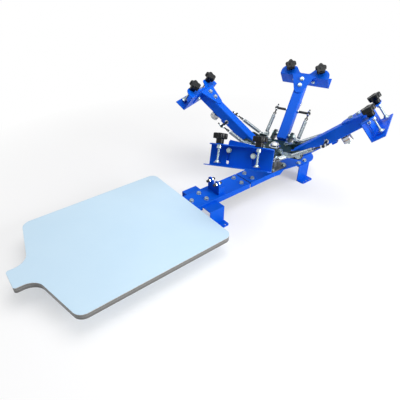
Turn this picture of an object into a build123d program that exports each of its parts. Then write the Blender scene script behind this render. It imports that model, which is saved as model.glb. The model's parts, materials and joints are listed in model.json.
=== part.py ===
from build123d import *
import math
import os

# Tabletop screen printing press: four arms on one carousel, one platen.
# Millimetres, +Z up. The origin lies on the bench below the carousel's axis,
# and the base and the platen run from there towards -Y.

# ---------------------------------------------------------------- base frame
SHEET = 3.0                 # folded steel sheet of the base and the feet
BASE_TOP = 72.0             # upper face of the base above the bench
BASE_WIDTH = 84.0
BASE_DROP = 21.0            # height of the base's side flanges
BASE_FRONT = -411.0         # front end of the base
SPLICE_Y = -160.0           # joint between the front and the rear base
SPLICE_GAP = 5.0
FLARE_Y = -25.0             # where the rear base starts to widen
TONGUE_Y = 147.0            # centre of the rear base's round end
TONGUE_RADIUS = 70.0
FLANGE_END = 15.0           # where the rear base's side flanges stop
FLANGE_SLANT = 18.0

SPINE_WIDTH = 72.0          # flat bar that splices and stiffens the base
SPINE_THICK = 7.0
SPINE_REAR = 80.0

FOOT_LENGTH = 62.0          # along Y
FOOT_FLANGE = 31.0
FOOT_CORNER = 9.0
FRONT_FOOT_Y = -354.6
FRONT_FOOT_HALF = 82.0      # centre to the outside of a leg
REAR_FOOT_Y = 116.0
REAR_FOOT_HALF = 69.6
FOOT_HOLE = 7.0
FOOT_HOLE_SPACING = 18.0
FOOT_HOLE_OUT = 23.25       # from a leg's outer face to its row of holes

# ------------------------------------------------------------ screws and fits
BOLT = 8.0                  # M8 throughout
BOLT_HOLE = 8.6
HEX = 13.0                  # across flats
HEAD_HEIGHT = 5.3
NUT_HEIGHT = 6.5
WASHER = 17.0
WASHER_THICK = 1.6
THREAD_TAIL = 3.0
CUT = 1.0                   # how far a cut runs past what it cuts
RUNNING_GAP = 0.3           # between faces and fits that move on each other
SPLICE_BOLT_X = 21.5
SPLICE_BOLT_OFFSET = 28.0   # from the joint to the bolts on each side of it
NOSE_BOLT_INSET = 8.0       # single bolt near the base's front end
REAR_BOLT_X = 54.0
REAR_BOLT_SPREAD = 36.0

# -------------------------------------------------------------------- platen
PLATEN_WIDTH = 450.0
PLATEN_THICK = 18.0
PLATEN_TOP = 77.0
PLATEN_REAR = -415.0
PLATEN_CORNER = 26.0
SHOULDER_Y = -905.5         # corner between a side and a shoulder
SHOULDER_CORNER = 30.0
SHOULDER_DROP = 40.0        # how far the shoulders lean towards the tab
TAB_WIDTH = 77.0
TAB_END = -1003.5
TAB_CORNER = 8.0
NECK_RADIUS = 45.0
SUPPORT_WIDTH = 60.0
SUPPORT_REAR = -318.0
SUPPORT_FRONT = -860.0
CROSS_ARM_LENGTH = 300.0
CROSS_ARM_WIDTH = 40.0
CROSS_ARM_Y = (-540.0, -800.0)
WOOD_SCREW = 5.0
WOOD_SCREW_HEAD = 10.0
WOOD_SCREW_DEPTH = 13.0
CROSS_SCREW_INSET = 18.0

# --------------------------------------------------------- registration gate
GATE_FRONT = -306.5         # front face of the gate's plate
GATE_SHEET = 4.0
GATE_WIDTH = 60.0
GATE_DEPTH = 26.0
GATE_SIDE_HEIGHT = 27.0
GATE_BOLT_X = 18.0
GATE_BOLT_Z = 112.0
GATE_LOBE = 12.0            # radius of each lobe
GATE_TIP = 12.0             # diameter of the rubber tips
GATE_TIP_LENGTH = 8.0
GATE_FRONT_TIP = -322.0

# ---------------------------------------------------------- spindle and hub
POST_FLANGE = 84.0
POST_FLANGE_THICK = 6.0
POST_BOLT = 31.0            # centre to a bolt along X and Y
POST = 44.0
POST_TOP = 130.0
THRUST_BEARING = 52.0
THRUST_HEIGHT = 8.0
SPINDLE = 25.0
HUB_TOP = 157.0
HUB_THICK = 12.0
HUB = 129.0
HUB_BOSS = 60.0
HUB_BOLT_RADIUS = 50.0
CAP = 34.0
CAP_TOP = 177.0
CAP_DOME = 9.2              # height of its domed part
CAP_WASHER = 44.0
CAP_WASHER_THICK = 3.0
CHEEK_CENTRE = 35.0         # arm's mid-plane to the middle of a cheek
CHEEK_THICK = 10.0
CHEEK_RADIUS = 16.5
CHEEK_START = 51.0
HINGE_BEARING = 28.0
HINGE_SHAFT = 12.0
HINGE_NUT = 19.0
HINGE_NUT_HEIGHT = 7.0

# ---------------------------------------------------------------------- arms
HINGE_RADIUS = 104.3
HINGE_HEIGHT = 163.0
FRONT_ARM_ANGLE = -67.1     # direction of the front arm about the carousel's axis
ARM_NAMES = ("front", "right", "back", "left")
ARM_RAISE = (29.0, 42.1, 43.9, 36.0)
TUBE = 40.0
TUBE_WALL = 2.0
TUBE_CORNER = 4.0
TUBE_TAIL = 22.0            # behind the hinge
TUBE_REACH = 256.5
LUG_S = 117.0
LUG_LENGTH = 18.0
LUG_HEIGHT = 10.0

HEAD_SHEET = 4.0
HEAD_ROUND_S = 200.0
HEAD_HALF_WIDTH = 46.0
HEAD_FACE_WIDTH = 96.0
HEAD_FACE_BOTTOM = -40.0
HEAD_BOLT_S = (214.0, 242.0)

CLAMP_SHEET = 3.0
CLAMP_WIDTH = 200.0
CLAMP_TOP = 12.5
CLAMP_BOTTOM = -55.3
CLAMP_DEPTH = 44.6
EAR_DEPTH = 41.0
EAR_INNER = 40.0
EAR_CORNER = 28.0
CUT_DEPTH = 27.0
SLOT_X = 40.0
SLOT_WIDTH = 9.0
SLOT_BOTTOM = -45.0
SLOT_TOP = 2.0
CLAMP_BOLT_N = -8.0
FRONT_CLAMP_TILT = 7.4      # the front clamp hangs askew within its slots' play

STUD_X = 62.0
STUD_DEPTH = 30.1           # from the clamp's back face
STUD = 7.4
STUD_COLLAR = 14.0
STUD_COLLAR_LENGTH = 11.0
KNOB = 45.0
KNOB_LOBE = 15.0
KNOB_LOBES = 5
KNOB_HEIGHT = 17.0
KNOB_NECK = 24.0
KNOB_NECK_HEIGHT = 14.0
KNOB_STANDOFF = 0.7
PAD = 23.0
PAD_TOP = 12.0
PAD_HEIGHT = 8.0
PAD_STANDOFF = 7.0          # above the clamp's lower flange
PAD_SOCKET = 5.0

ROLLER_S = 168.0
ROLLER = 35.0
ROLLER_BEARING = 10.0
ROLLER_RING = 2.0
ROLLER_RING_SIZE = 32.0
ROLLER_SPACER = 4.0

# ------------------------------------------------------------ lift springs
ROD_S = 112.0
ROD_N = -4.0
ROD = 10.0
ROD_HALF = 74.0
SPRING_T = 66.5             # arm's mid-plane to a spring's axis
ANCHOR_RADIAL = 80.0
ANCHOR_Z = 166.0
ANCHOR_PIN = 5.0
ANCHOR_PIN_REACH = 6.5      # beyond the spring's axis
ANCHOR_SHEET = 4.0
ANCHOR_EDGE = 6.0           # from the pin's axis to the ear's edge
ANCHOR_HEAD = 2.0           # thickness of the pin's head
ANCHOR_STRAP = 14.0
EYEBOLT = 6.0
EYE_DISTANCE = 28.0
EYE_RADIUS = 5.0
EYE_WIRE = 4.0
EYEBOLT_TAIL = 19.0
SPRING_WIRE = 2.6
SPRING_OUTSIDE = 15.0
HOOK_RADIUS = 4.8           # centre line of the hooks
HOOK_LEAD = 5.0             # along the axis from a hook's centre to the first turn
MAX_RAISE = 46.0

# ------------------------------------------------------- values worked out
BASE_UNDER = BASE_TOP - SHEET
BASE_LOW = BASE_TOP - BASE_DROP
SPINE_LOW = BASE_UNDER - SPINE_THICK
SUPPORT_TOP = PLATEN_TOP - PLATEN_THICK
SUPPORT_THICK = SPINE_THICK
SUPPORT_LOW = SUPPORT_TOP - SUPPORT_THICK
NOSE_BOLT_Y = BASE_FRONT + NOSE_BOLT_INSET
WEB_BACK = TUBE_REACH + HEAD_SHEET
WEB_FRONT = WEB_BACK + CLAMP_SHEET
FLANGE_TOP = CLAMP_BOTTOM + CLAMP_SHEET
EAR_LOW = CLAMP_TOP - CLAMP_SHEET
STUD_S = WEB_BACK + STUD_DEPTH
HUB_LOW = HUB_TOP - HUB_THICK
ROLLER_TOP = -TUBE / 2 - ROLLER_SPACER - RUNNING_GAP
ROLLER_LOW = ROLLER_TOP - 2 * ROLLER_BEARING - ROLLER_RING


# ---------------------------------------------------------------- small tools
def block(x0, x1, y0, y1, z0, z1):
    """Box between two corners."""
    size = Box(x1 - x0, y1 - y0, z1 - z0)
    return Pos((x0 + x1) / 2, (y0 + y1) / 2, (z0 + z1) / 2) * size


def disc(x, y, z0, z1, diameter):
    """Upright cylinder between two heights."""
    return Pos(x, y, (z0 + z1) / 2) * Cylinder(diameter / 2, z1 - z0)


def bar_y(x, z, y0, y1, diameter):
    """Cylinder along Y between two places."""
    return Pos(x, (y0 + y1) / 2, z) * Rot(90, 0, 0) * Cylinder(diameter / 2, y1 - y0)


def bar_x(y, z, x0, x1, diameter):
    """Cylinder along X between two places."""
    return Pos((x0 + x1) / 2, y, z) * Rot(0, 90, 0) * Cylinder(diameter / 2, x1 - x0)


def hexagon(across, z0, z1):
    """Upright hexagonal prism on the Z axis."""
    return Pos(0, 0, z0) * extrude(RegularPolygon(across / 2, 6, major_radius=False), z1 - z0)


def hex_bolt(grip, nut=True):
    """Bolt along Z with its washer on z = 0, its head above and its nut below the grip."""
    bolt = disc(0, 0, 0, WASHER_THICK, WASHER)
    bolt += hexagon(HEX, WASHER_THICK, WASHER_THICK + HEAD_HEIGHT)
    end = -grip
    if nut:
        bolt += hexagon(HEX, -grip - NUT_HEIGHT, -grip)
        end = -grip - NUT_HEIGHT - THREAD_TAIL
    return bolt + disc(0, 0, end, WASHER_THICK, BOLT)


def holes(places, z0, z1, diameter=BOLT_HOLE):
    """Upright holes at (x, y) places."""
    return [disc(x, y, z0, z1, diameter) for x, y in places]


def save(name, shape):
    """Write one node."""
    solids = shape if isinstance(shape, list) else [shape]
    flat = []
    for item in solids:
        flat += item.solids()
    node = flat[0] if len(flat) == 1 else Compound(children=flat)
    node.label = name
    export_step(node, f"parts/{name}.step")


# ----------------------------------------------------------------- bolt places
SPLICE_BOLTS = [(x, SPLICE_Y + y) for y in (-SPLICE_BOLT_OFFSET, SPLICE_BOLT_OFFSET)
                for x in (-SPLICE_BOLT_X, SPLICE_BOLT_X)]
FRONT_FOOT_BOLTS = [(x, FRONT_FOOT_Y) for x in (-SPLICE_BOLT_X, SPLICE_BOLT_X)]
NOSE_BOLTS = [(0, NOSE_BOLT_Y)]
POST_BOLTS = [(x, y) for x in (-POST_BOLT, POST_BOLT) for y in (-POST_BOLT, POST_BOLT)]
REAR_FOOT_BOLTS = [(x, REAR_FOOT_Y + y) for x in (-REAR_BOLT_X, REAR_BOLT_X)
                   for y in (-REAR_BOLT_SPREAD / 2, REAR_BOLT_SPREAD / 2)]
GATE_FOOT_Y = GATE_FRONT + GATE_SHEET + WASHER / 2 + CUT
GATE_FOOT_BOLTS = [(0, GATE_FOOT_Y)]
BASE_BOLTS = (SPLICE_BOLTS + FRONT_FOOT_BOLTS + NOSE_BOLTS + POST_BOLTS + REAR_FOOT_BOLTS
              + GATE_FOOT_BOLTS)


# ------------------------------------------------------------------ base frame
def base_outline(inset, front):
    """Rear base seen from above: a strip that flares in tangents to a round end."""
    half = BASE_WIDTH / 2
    away = math.hypot(half, FLARE_Y - TONGUE_Y)
    turn = math.atan2(FLARE_Y - TONGUE_Y, half) + math.acos(TONGUE_RADIUS / away)
    radius = TONGUE_RADIUS - inset
    half -= inset
    flare = TONGUE_Y + (radius - half * math.cos(turn)) / math.sin(turn)
    tx = radius * math.cos(turn)
    ty = TONGUE_Y + radius * math.sin(turn)
    sides = Polyline((tx, ty), (half, flare), (half, front),
                     (-half, front), (-half, flare), (-tx, ty))
    end = ThreePointArc((-tx, ty), (0, TONGUE_Y + radius), (tx, ty))
    return make_face(sides.edges() + end.edges())


def rear_base():
    front = SPLICE_Y + SPLICE_GAP / 2
    body = Pos(0, 0, BASE_LOW) * extrude(base_outline(0, front), BASE_DROP)
    body -= Pos(0, 0, BASE_LOW) * extrude(base_outline(SHEET, front - SHEET), BASE_DROP - SHEET)
    back = TONGUE_Y + TONGUE_RADIUS + SHEET
    slant = Polyline((FLANGE_END, BASE_UNDER), (back, BASE_UNDER), (back, BASE_LOW - SHEET),
                     (FLANGE_END - FLANGE_SLANT, BASE_LOW - SHEET), close=True)
    side = BASE_WIDTH + TONGUE_RADIUS
    body -= Pos(-side / 2, 0, 0) * extrude(Plane.YZ * make_face(slant.edges()), side)
    return body - holes(BASE_BOLTS, BASE_LOW, BASE_TOP + SHEET)


def front_base():
    half = BASE_WIDTH / 2
    rear = SPLICE_Y - SPLICE_GAP / 2
    body = block(-half, half, BASE_FRONT, rear, BASE_LOW, BASE_TOP)
    body -= block(-half + SHEET, half - SHEET, BASE_FRONT - SHEET, rear + SHEET,
                  BASE_LOW - SHEET, BASE_UNDER)
    notch = FOOT_LENGTH / 2 + SHEET / 3
    body -= block(-half - SHEET, half + SHEET, FRONT_FOOT_Y - notch, FRONT_FOOT_Y + notch,
                  BASE_LOW - SHEET, SPINE_LOW)
    return body - holes(BASE_BOLTS, BASE_LOW, BASE_TOP + SHEET)


def spine_bar():
    half = SPINE_WIDTH / 2
    bar = block(-half, half, BASE_FRONT + SHEET, SPINE_REAR, SPINE_LOW, BASE_UNDER)
    return bar - holes(BASE_BOLTS, SPINE_LOW - SHEET, BASE_TOP)


def foot(half, y, top, bolts):
    """Hat-shaped foot across the base with three holes in each flange."""
    y0 = y - FOOT_LENGTH / 2
    y1 = y + FOOT_LENGTH / 2
    body = block(-half, half, y0, y1, 0, top)
    body -= block(-half + SHEET, half - SHEET, y0 - SHEET, y1 + SHEET, -SHEET, top - SHEET)
    flange = RectangleRounded(2 * (half + FOOT_FLANGE), FOOT_LENGTH, FOOT_CORNER)
    body += Pos(0, y, 0) * extrude(flange, SHEET)
    body -= block(-half + SHEET, half - SHEET, y0, y1, 0, SHEET)
    body -= holes(foot_holes(half, y), -SHEET, 2 * SHEET, FOOT_HOLE)
    return body - holes(bolts, 0, top + SHEET)


def foot_holes(half, y):
    """Bench screw holes of one foot."""
    x = half + FOOT_HOLE_OUT
    return [(side * x, y + row * FOOT_HOLE_SPACING) for side in (-1, 1) for row in (-1, 0, 1)]


def spindle_post():
    """Flanged post, its spindle and the thrust bearing on its shoulder."""
    flange_top = BASE_TOP + POST_FLANGE_THICK
    flange = Pos(0, 0, BASE_TOP) * extrude(RectangleRounded(POST_FLANGE, POST_FLANGE, WASHER / 2),
                                           POST_FLANGE_THICK)
    post = flange + disc(0, 0, flange_top, POST_TOP, POST)
    post += disc(0, 0, POST_TOP, HUB_TOP + CAP_WASHER_THICK + NUT_HEIGHT, SPINDLE)
    post -= holes(POST_BOLTS, BASE_TOP - SHEET, flange_top + SHEET)
    bearing = disc(0, 0, POST_TOP, POST_TOP + THRUST_HEIGHT, THRUST_BEARING)
    bearing -= disc(0, 0, POST_TOP, POST_TOP + THRUST_HEIGHT, SPINDLE + RUNNING_GAP)
    return [post, bearing]


def pivot_nut():
    """Washer and domed nut that hold the hub down on the spindle."""
    low = HUB_TOP + RUNNING_GAP
    top = low + CAP_WASHER_THICK
    body = disc(0, 0, low, top, CAP_WASHER)
    shoulder = CAP_TOP - CAP_DOME
    body += disc(0, 0, top, shoulder, CAP)
    curve = ((CAP / 2) ** 2 + CAP_DOME ** 2) / (2 * CAP_DOME)
    dome = Pos(0, 0, CAP_TOP - curve) * Sphere(curve)
    body += dome & disc(0, 0, shoulder, CAP_TOP, CAP)
    return body - disc(0, 0, 0, HUB_TOP + CAP_WASHER_THICK + NUT_HEIGHT, SPINDLE + RUNNING_GAP)


def frame_bolts():
    """Every bolt of the base, with its washer and nut."""
    plate = []
    spine_grip = BASE_TOP - SPINE_LOW
    for x, y in SPLICE_BOLTS:
        plate.append(Pos(x, y, BASE_TOP) * hex_bolt(spine_grip))
    for x, y in FRONT_FOOT_BOLTS:
        plate.append(Pos(x, y, BASE_TOP) * hex_bolt(BASE_TOP - SUPPORT_LOW))
    nose = hex_bolt(BASE_TOP - SUPPORT_LOW)
    nose += disc(0, 0, SUPPORT_TOP - BASE_TOP, SPINE_LOW - BASE_TOP, WASHER)
    plate.append(Pos(0, NOSE_BOLT_Y, BASE_TOP) * nose)
    for x, y in POST_BOLTS:
        bolt = hex_bolt(spine_grip + POST_FLANGE_THICK)
        plate.append(Pos(x, y, BASE_TOP + POST_FLANGE_THICK) * bolt)
    for x, y in REAR_FOOT_BOLTS:
        plate.append(Pos(x, y, BASE_TOP) * hex_bolt(2 * SHEET))
    for x, y in GATE_FOOT_BOLTS:
        plate.append(Pos(x, y, BASE_TOP + GATE_SHEET) * hex_bolt(spine_grip + GATE_SHEET))
    return plate


# -------------------------------------------------------------------- platen
def platen_screw_places():
    """Wood screws at the ends of the cross arms and along the support bar."""
    x = CROSS_ARM_LENGTH / 2 - CROSS_SCREW_INSET
    places = [(side * x, y) for y in CROSS_ARM_Y for side in (-1, 1)]
    return places + [(0, (CROSS_ARM_Y[0] + PLATEN_REAR) / 2), (0, sum(CROSS_ARM_Y) / 2)]


def platen():
    half = PLATEN_WIDTH / 2
    tab = TAB_WIDTH / 2
    shoulder = SHOULDER_Y - SHOULDER_DROP
    corners = [(half, PLATEN_REAR), (half, SHOULDER_Y), (tab, shoulder), (tab, TAB_END),
               (-tab, TAB_END), (-tab, shoulder), (-half, SHOULDER_Y), (-half, PLATEN_REAR)]
    radii = [PLATEN_CORNER, SHOULDER_CORNER, NECK_RADIUS, TAB_CORNER,
             TAB_CORNER, NECK_RADIUS, SHOULDER_CORNER, PLATEN_CORNER]
    outline = FilletPolyline(*corners, radius=radii, close=True)
    board = Pos(0, 0, SUPPORT_TOP) * extrude(make_face(outline.edges()), PLATEN_THICK)
    return board - holes(platen_screw_places(), SUPPORT_TOP, SUPPORT_TOP + WOOD_SCREW_DEPTH, WOOD_SCREW)


def platen_support():
    """Bar from below the base, with two cross arms under the platen."""
    half = SUPPORT_WIDTH / 2
    bar = block(-half, half, SUPPORT_FRONT, SUPPORT_REAR, SUPPORT_LOW, SUPPORT_TOP)
    for y in CROSS_ARM_Y:
        bar += block(-CROSS_ARM_LENGTH / 2, CROSS_ARM_LENGTH / 2, y - CROSS_ARM_WIDTH / 2,
                     y + CROSS_ARM_WIDTH / 2, SUPPORT_LOW, SUPPORT_TOP)
    bar -= holes(FRONT_FOOT_BOLTS + NOSE_BOLTS, SUPPORT_LOW - SHEET, SUPPORT_TOP + SHEET)
    return bar - holes(platen_screw_places(), SUPPORT_LOW, SUPPORT_TOP, WOOD_SCREW + RUNNING_GAP)


def platen_screws():
    screws = []
    for x, y in platen_screw_places():
        screw = disc(x, y, SUPPORT_LOW - SHEET, SUPPORT_LOW, WOOD_SCREW_HEAD)
        screws.append(screw + disc(x, y, SUPPORT_LOW, SUPPORT_TOP + WOOD_SCREW_DEPTH, WOOD_SCREW))
    return screws


# --------------------------------------------------------- registration gate
def gate_rear_tip():
    """Where the rear tips end, so that a lowered roller just rests between them."""
    inner = GATE_BOLT_X - GATE_TIP / 2
    reach = ROLLER / 2 + 3 * RUNNING_GAP
    return -(HINGE_RADIUS + ROLLER_S) - math.sqrt(reach ** 2 - inner ** 2)


def gate_bracket():
    half = GATE_WIDTH / 2
    back = GATE_FRONT + GATE_SHEET
    plate = block(-half, half, GATE_FRONT, back, BASE_TOP, GATE_BOLT_Z - GATE_LOBE / 2)
    for side in (-1, 1):
        plate += bar_y(side * GATE_BOLT_X, GATE_BOLT_Z, GATE_FRONT, back, 2 * GATE_LOBE)
        x0 = side * half - GATE_SHEET * (side + 1) / 2
        plate += block(x0, x0 + GATE_SHEET, GATE_FRONT, GATE_FRONT + GATE_DEPTH,
                       BASE_TOP, BASE_TOP + GATE_SIDE_HEIGHT)
    plate -= bar_y(0, GATE_BOLT_Z, GATE_FRONT - CUT, back + CUT, GATE_LOBE)
    plate += block(-half, half, GATE_FRONT, GATE_FRONT + GATE_DEPTH,
                   BASE_TOP, BASE_TOP + GATE_SHEET)
    for side in (-1, 1):
        plate -= bar_y(side * GATE_BOLT_X, GATE_BOLT_Z, GATE_FRONT - CUT, back + CUT, BOLT_HOLE)
    return plate - holes(GATE_FOOT_BOLTS, BASE_TOP - CUT, BASE_TOP + GATE_SHEET + CUT)


def gate_stop_bolts():
    """Two threaded stops with a nut on each side of the plate and rubber tips."""
    stops = []
    tail = gate_rear_tip()
    for side in (-1, 1):
        x = side * GATE_BOLT_X
        stud = bar_y(x, GATE_BOLT_Z, GATE_FRONT_TIP + GATE_TIP_LENGTH, tail - GATE_TIP_LENGTH, BOLT)
        for y in (GATE_FRONT, GATE_FRONT + GATE_SHEET + NUT_HEIGHT):
            stud += Pos(x, y, GATE_BOLT_Z) * Rot(90, 0, 0) * hexagon(HEX, 0, NUT_HEIGHT)
        stops.append(stud)
        stops.append(bar_y(x, GATE_BOLT_Z, GATE_FRONT_TIP, GATE_FRONT_TIP + GATE_TIP_LENGTH, GATE_TIP))
        stops.append(bar_y(x, GATE_BOLT_Z, tail - GATE_TIP_LENGTH, tail, GATE_TIP))
    return stops


# ------------------------------------------------------------ carousel frames
def arm_angle(k):
    """Direction of arm k about the carousel's axis, in degrees."""
    return FRONT_ARM_ANGLE + 90 * k


def level_plane(k):
    """Frame of arm k on the carousel: X outward, Y to the left, Z up."""
    angle = math.radians(arm_angle(k))
    return Plane(origin=(0, 0, 0), x_dir=(math.cos(angle), math.sin(angle), 0), z_dir=(0, 0, 1))


def arm_plane(k):
    """Frame of the raised arm k: X along the tube, Y along the hinge, Z across the tube."""
    return raised_plane(k, HINGE_RADIUS, HINGE_HEIGHT, ARM_RAISE[k])


def raised_plane(k, radial, height, raise_angle):
    """Frame on arm k's mid-plane that is tipped up by an angle."""
    turn = math.radians(arm_angle(k))
    tip = math.radians(raise_angle)
    out = (math.cos(turn), math.sin(turn))
    return Plane(origin=(radial * out[0], radial * out[1], height),
                 x_dir=(out[0] * math.cos(tip), out[1] * math.cos(tip), math.sin(tip)),
                 z_dir=(-out[0] * math.sin(tip), -out[1] * math.sin(tip), math.cos(tip)))


def rod_place(raise_angle):
    """Radius and height of an arm's cross rod when the arm is raised by an angle."""
    tip = math.radians(raise_angle)
    radial = HINGE_RADIUS + ROD_S * math.cos(tip) - ROD_N * math.sin(tip)
    height = HINGE_HEIGHT + ROD_S * math.sin(tip) + ROD_N * math.cos(tip)
    return radial, height


def spring_line(raise_angle):
    """Length and slope of the line from the spring's anchor to the cross rod."""
    radial, height = rod_place(raise_angle)
    run = radial - ANCHOR_RADIAL
    rise = height - ANCHOR_Z
    return math.hypot(run, rise), math.degrees(math.atan2(rise, run))


def spring_plane(k):
    """Frame at arm k's cross rod: X down the springs, Y along the rod."""
    radial, height = rod_place(ARM_RAISE[k])
    plane = raised_plane(k, radial, height, spring_line(ARM_RAISE[k])[1])
    return Plane(origin=plane.origin, x_dir=-plane.x_dir, z_dir=-plane.z_dir)


# ------------------------------------------------------------------ carousel
def hub():
    body = disc(0, 0, HUB_LOW, HUB_TOP, HUB)
    body += disc(0, 0, POST_TOP + THRUST_HEIGHT + RUNNING_GAP, HUB_LOW, HUB_BOSS)
    ear = Circle(CHEEK_RADIUS).edges()
    foot_block = Pos(CHEEK_START - HINGE_RADIUS, HUB_LOW - HINGE_HEIGHT) * Rectangle(
        CHEEK_THICK, HUB_THICK + CHEEK_THICK / 2, align=(Align.MIN, Align.MIN))
    profile = make_hull(ear + foot_block.edges())
    for k in range(4):
        for side in (-1, 1):
            place = Pos(HINGE_RADIUS, side * CHEEK_CENTRE + CHEEK_THICK / 2, HINGE_HEIGHT)
            cheek = place * extrude(Plane.XZ * profile, CHEEK_THICK)
            body += level_plane(k).location * cheek
    for k in range(4):
        for side in (-1, 1):
            bore = bar_y(HINGE_RADIUS, HINGE_HEIGHT, side * CHEEK_CENTRE - CHEEK_THICK,
                         side * CHEEK_CENTRE + CHEEK_THICK, HINGE_BEARING)
            body -= level_plane(k).location * bore
        body -= level_plane(k).location * disc(*hub_bolt_place(), HUB_LOW - CUT, HUB_TOP + CUT, BOLT_HOLE)
    return body - disc(0, 0, POST_TOP, HUB_TOP + CUT, SPINDLE + 2 * RUNNING_GAP)


def hub_bolt_place():
    """Bolt on the diagonal between two arms, in the frame of the first."""
    return HUB_BOLT_RADIUS / math.sqrt(2), HUB_BOLT_RADIUS / math.sqrt(2)


def hinge_bearings():
    """A ball bearing in each cheek of the hub."""
    rings = []
    for k in range(4):
        for side in (-1, 1):
            low = side * CHEEK_CENTRE - CHEEK_THICK / 2
            ring = bar_y(HINGE_RADIUS, HINGE_HEIGHT, low, low + CHEEK_THICK,
                         HINGE_BEARING - RUNNING_GAP / 2)
            ring -= bar_y(HINGE_RADIUS, HINGE_HEIGHT, low - CUT, low + CHEEK_THICK + CUT,
                          HINGE_SHAFT + 2 * RUNNING_GAP)
            rings.append(level_plane(k).location * ring)
    return rings


def spring_anchors():
    """Strap on each diagonal of the hub, with an upturned ear and a pin for each spring."""
    inner = SPRING_T - SPRING_OUTSIDE / 2 - RUNNING_GAP * 2 - ANCHOR_SHEET
    outer = inner + ANCHOR_SHEET
    tip = ANCHOR_RADIAL + ANCHOR_EDGE
    start = (HUB_BOLT_RADIUS - WASHER / 2) / math.sqrt(2)
    low = HUB_TOP
    top = ANCHOR_Z + ANCHOR_EDGE
    reach = SPRING_T + ANCHOR_PIN_REACH
    straps = []
    for k in range(4):
        length = (outer - start) * math.sqrt(2)
        middle = (outer + start) / 2
        strap = Pos(middle, middle, low + ANCHOR_SHEET / 2) * Rot(0, 0, 45) * Box(
            length, ANCHOR_STRAP, ANCHOR_SHEET)
        strap += block(inner, outer, inner, outer, low, low + ANCHOR_SHEET)
        strap += block(outer - ANCHOR_SHEET, tip, inner, outer, low, top)
        strap += block(inner, outer, outer - ANCHOR_SHEET, tip, low, top)
        strap += bar_y(ANCHOR_RADIAL, ANCHOR_Z, outer, reach, ANCHOR_PIN)
        strap += bar_x(ANCHOR_RADIAL, ANCHOR_Z, outer, reach, ANCHOR_PIN)
        strap += bar_y(ANCHOR_RADIAL, ANCHOR_Z, reach - ANCHOR_HEAD, reach, 2 * ANCHOR_PIN)
        strap += bar_x(ANCHOR_RADIAL, ANCHOR_Z, reach - ANCHOR_HEAD, reach, 2 * ANCHOR_PIN)
        x, y = hub_bolt_place()
        strap -= disc(x, y, low - CUT, low + ANCHOR_SHEET + CUT, BOLT_HOLE)
        straps.append(level_plane(k).location * strap)
        bolt = Pos(x, y, low + ANCHOR_SHEET) * hex_bolt(HUB_THICK + ANCHOR_SHEET)
        straps.append(level_plane(k).location * bolt)
    return straps


# ---------------------------------------------------------------------- arms
def arm_tube():
    """Square tube with its cross holes, in the arm's frame."""
    profile = RectangleRounded(TUBE, TUBE, TUBE_CORNER)
    profile -= RectangleRounded(TUBE - 2 * TUBE_WALL, TUBE - 2 * TUBE_WALL, TUBE_CORNER - TUBE_WALL)
    tube = Pos(-TUBE_TAIL, 0, 0) * extrude(Plane.YZ * profile, TUBE_TAIL + TUBE_REACH)
    half = TUBE / 2
    lug = block(LUG_S, LUG_S + LUG_LENGTH, -half / 2, half / 2, -half - LUG_HEIGHT, -half)
    tube += lug
    tube -= bar_y(0, 0, -TUBE, TUBE, HINGE_SHAFT + RUNNING_GAP)
    tube -= bar_y(ROD_S, ROD_N, -TUBE, TUBE, ROD + 2 * RUNNING_GAP)
    tube -= [disc(s, 0, 0, TUBE, BOLT_HOLE) for s in HEAD_BOLT_S]
    return tube - disc(ROLLER_S, 0, -TUBE, 0, BOLT_HOLE)


def head_bracket():
    """Plate on top of the tube, bent down over its end to carry the clamp."""
    low = TUBE / 2
    front = WEB_BACK
    outline = make_hull((Pos(HEAD_ROUND_S, 0) * Circle(TUBE / 2)).edges()
                        + Line((front, -HEAD_HALF_WIDTH), (front, HEAD_HALF_WIDTH)).edges())
    plate = Pos(0, 0, low) * extrude(outline, HEAD_SHEET)
    height = low - HEAD_FACE_BOTTOM
    face = Plane.YZ * (Pos(0, HEAD_FACE_BOTTOM + height / 2) * Rectangle(HEAD_FACE_WIDTH, height))
    face_plate = Pos(TUBE_REACH, 0, 0) * extrude(face, HEAD_SHEET)
    shell = plate + face_plate
    shell -= [disc(s, 0, 0, TUBE, BOLT_HOLE) for s in HEAD_BOLT_S]
    for side in (-1, 1):
        shell -= bar_x(side * SLOT_X, CLAMP_BOLT_N, TUBE_REACH - CUT, WEB_BACK + CUT, BOLT_HOLE)
    return shell


def clamp_slot(side):
    """Upright slot through the clamp's web."""
    length = SLOT_TOP - SLOT_BOTTOM
    slot = Plane.YZ * (Pos(side * SLOT_X, (SLOT_TOP + SLOT_BOTTOM) / 2)
                       * Rot(0, 0, 90) * SlotOverall(length, SLOT_WIDTH))
    return Pos(WEB_BACK - CUT, 0, 0) * extrude(slot, CLAMP_SHEET + 2 * CUT)


def clamp_channel():
    """Folded channel that holds a screen frame: web, lower flange and two upper ears."""
    half = CLAMP_WIDTH / 2
    web = block(WEB_BACK, WEB_FRONT, -half, half, CLAMP_BOTTOM, CLAMP_TOP)
    lower = block(WEB_BACK, WEB_BACK + CLAMP_DEPTH, -half, half, CLAMP_BOTTOM, FLANGE_TOP)
    front = WEB_BACK + EAR_DEPTH
    inner = front - CUT_DEPTH
    corners = [(WEB_BACK, half), (front, half), (front, EAR_INNER), (inner, EAR_INNER / 2),
               (inner, -EAR_INNER / 2), (front, -EAR_INNER), (front, -half), (WEB_BACK, -half)]
    small = EAR_CORNER / 14
    radii = [small, EAR_CORNER, EAR_CORNER / 3, EAR_CORNER / 2]
    radii += radii[::-1]
    upper = FilletPolyline(*corners, radius=radii, close=True)
    top = Pos(0, 0, EAR_LOW) * extrude(make_face(upper.edges()), CLAMP_SHEET)
    body = web + lower + top
    for side in (-1, 1):
        body += disc(STUD_S, side * STUD_X, EAR_LOW - STUD_COLLAR_LENGTH, EAR_LOW, STUD_COLLAR)
        body -= disc(STUD_S, side * STUD_X, EAR_LOW - TUBE, CLAMP_TOP + CUT, STUD + 2 * RUNNING_GAP)
        body -= clamp_slot(side)
    return body


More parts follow.
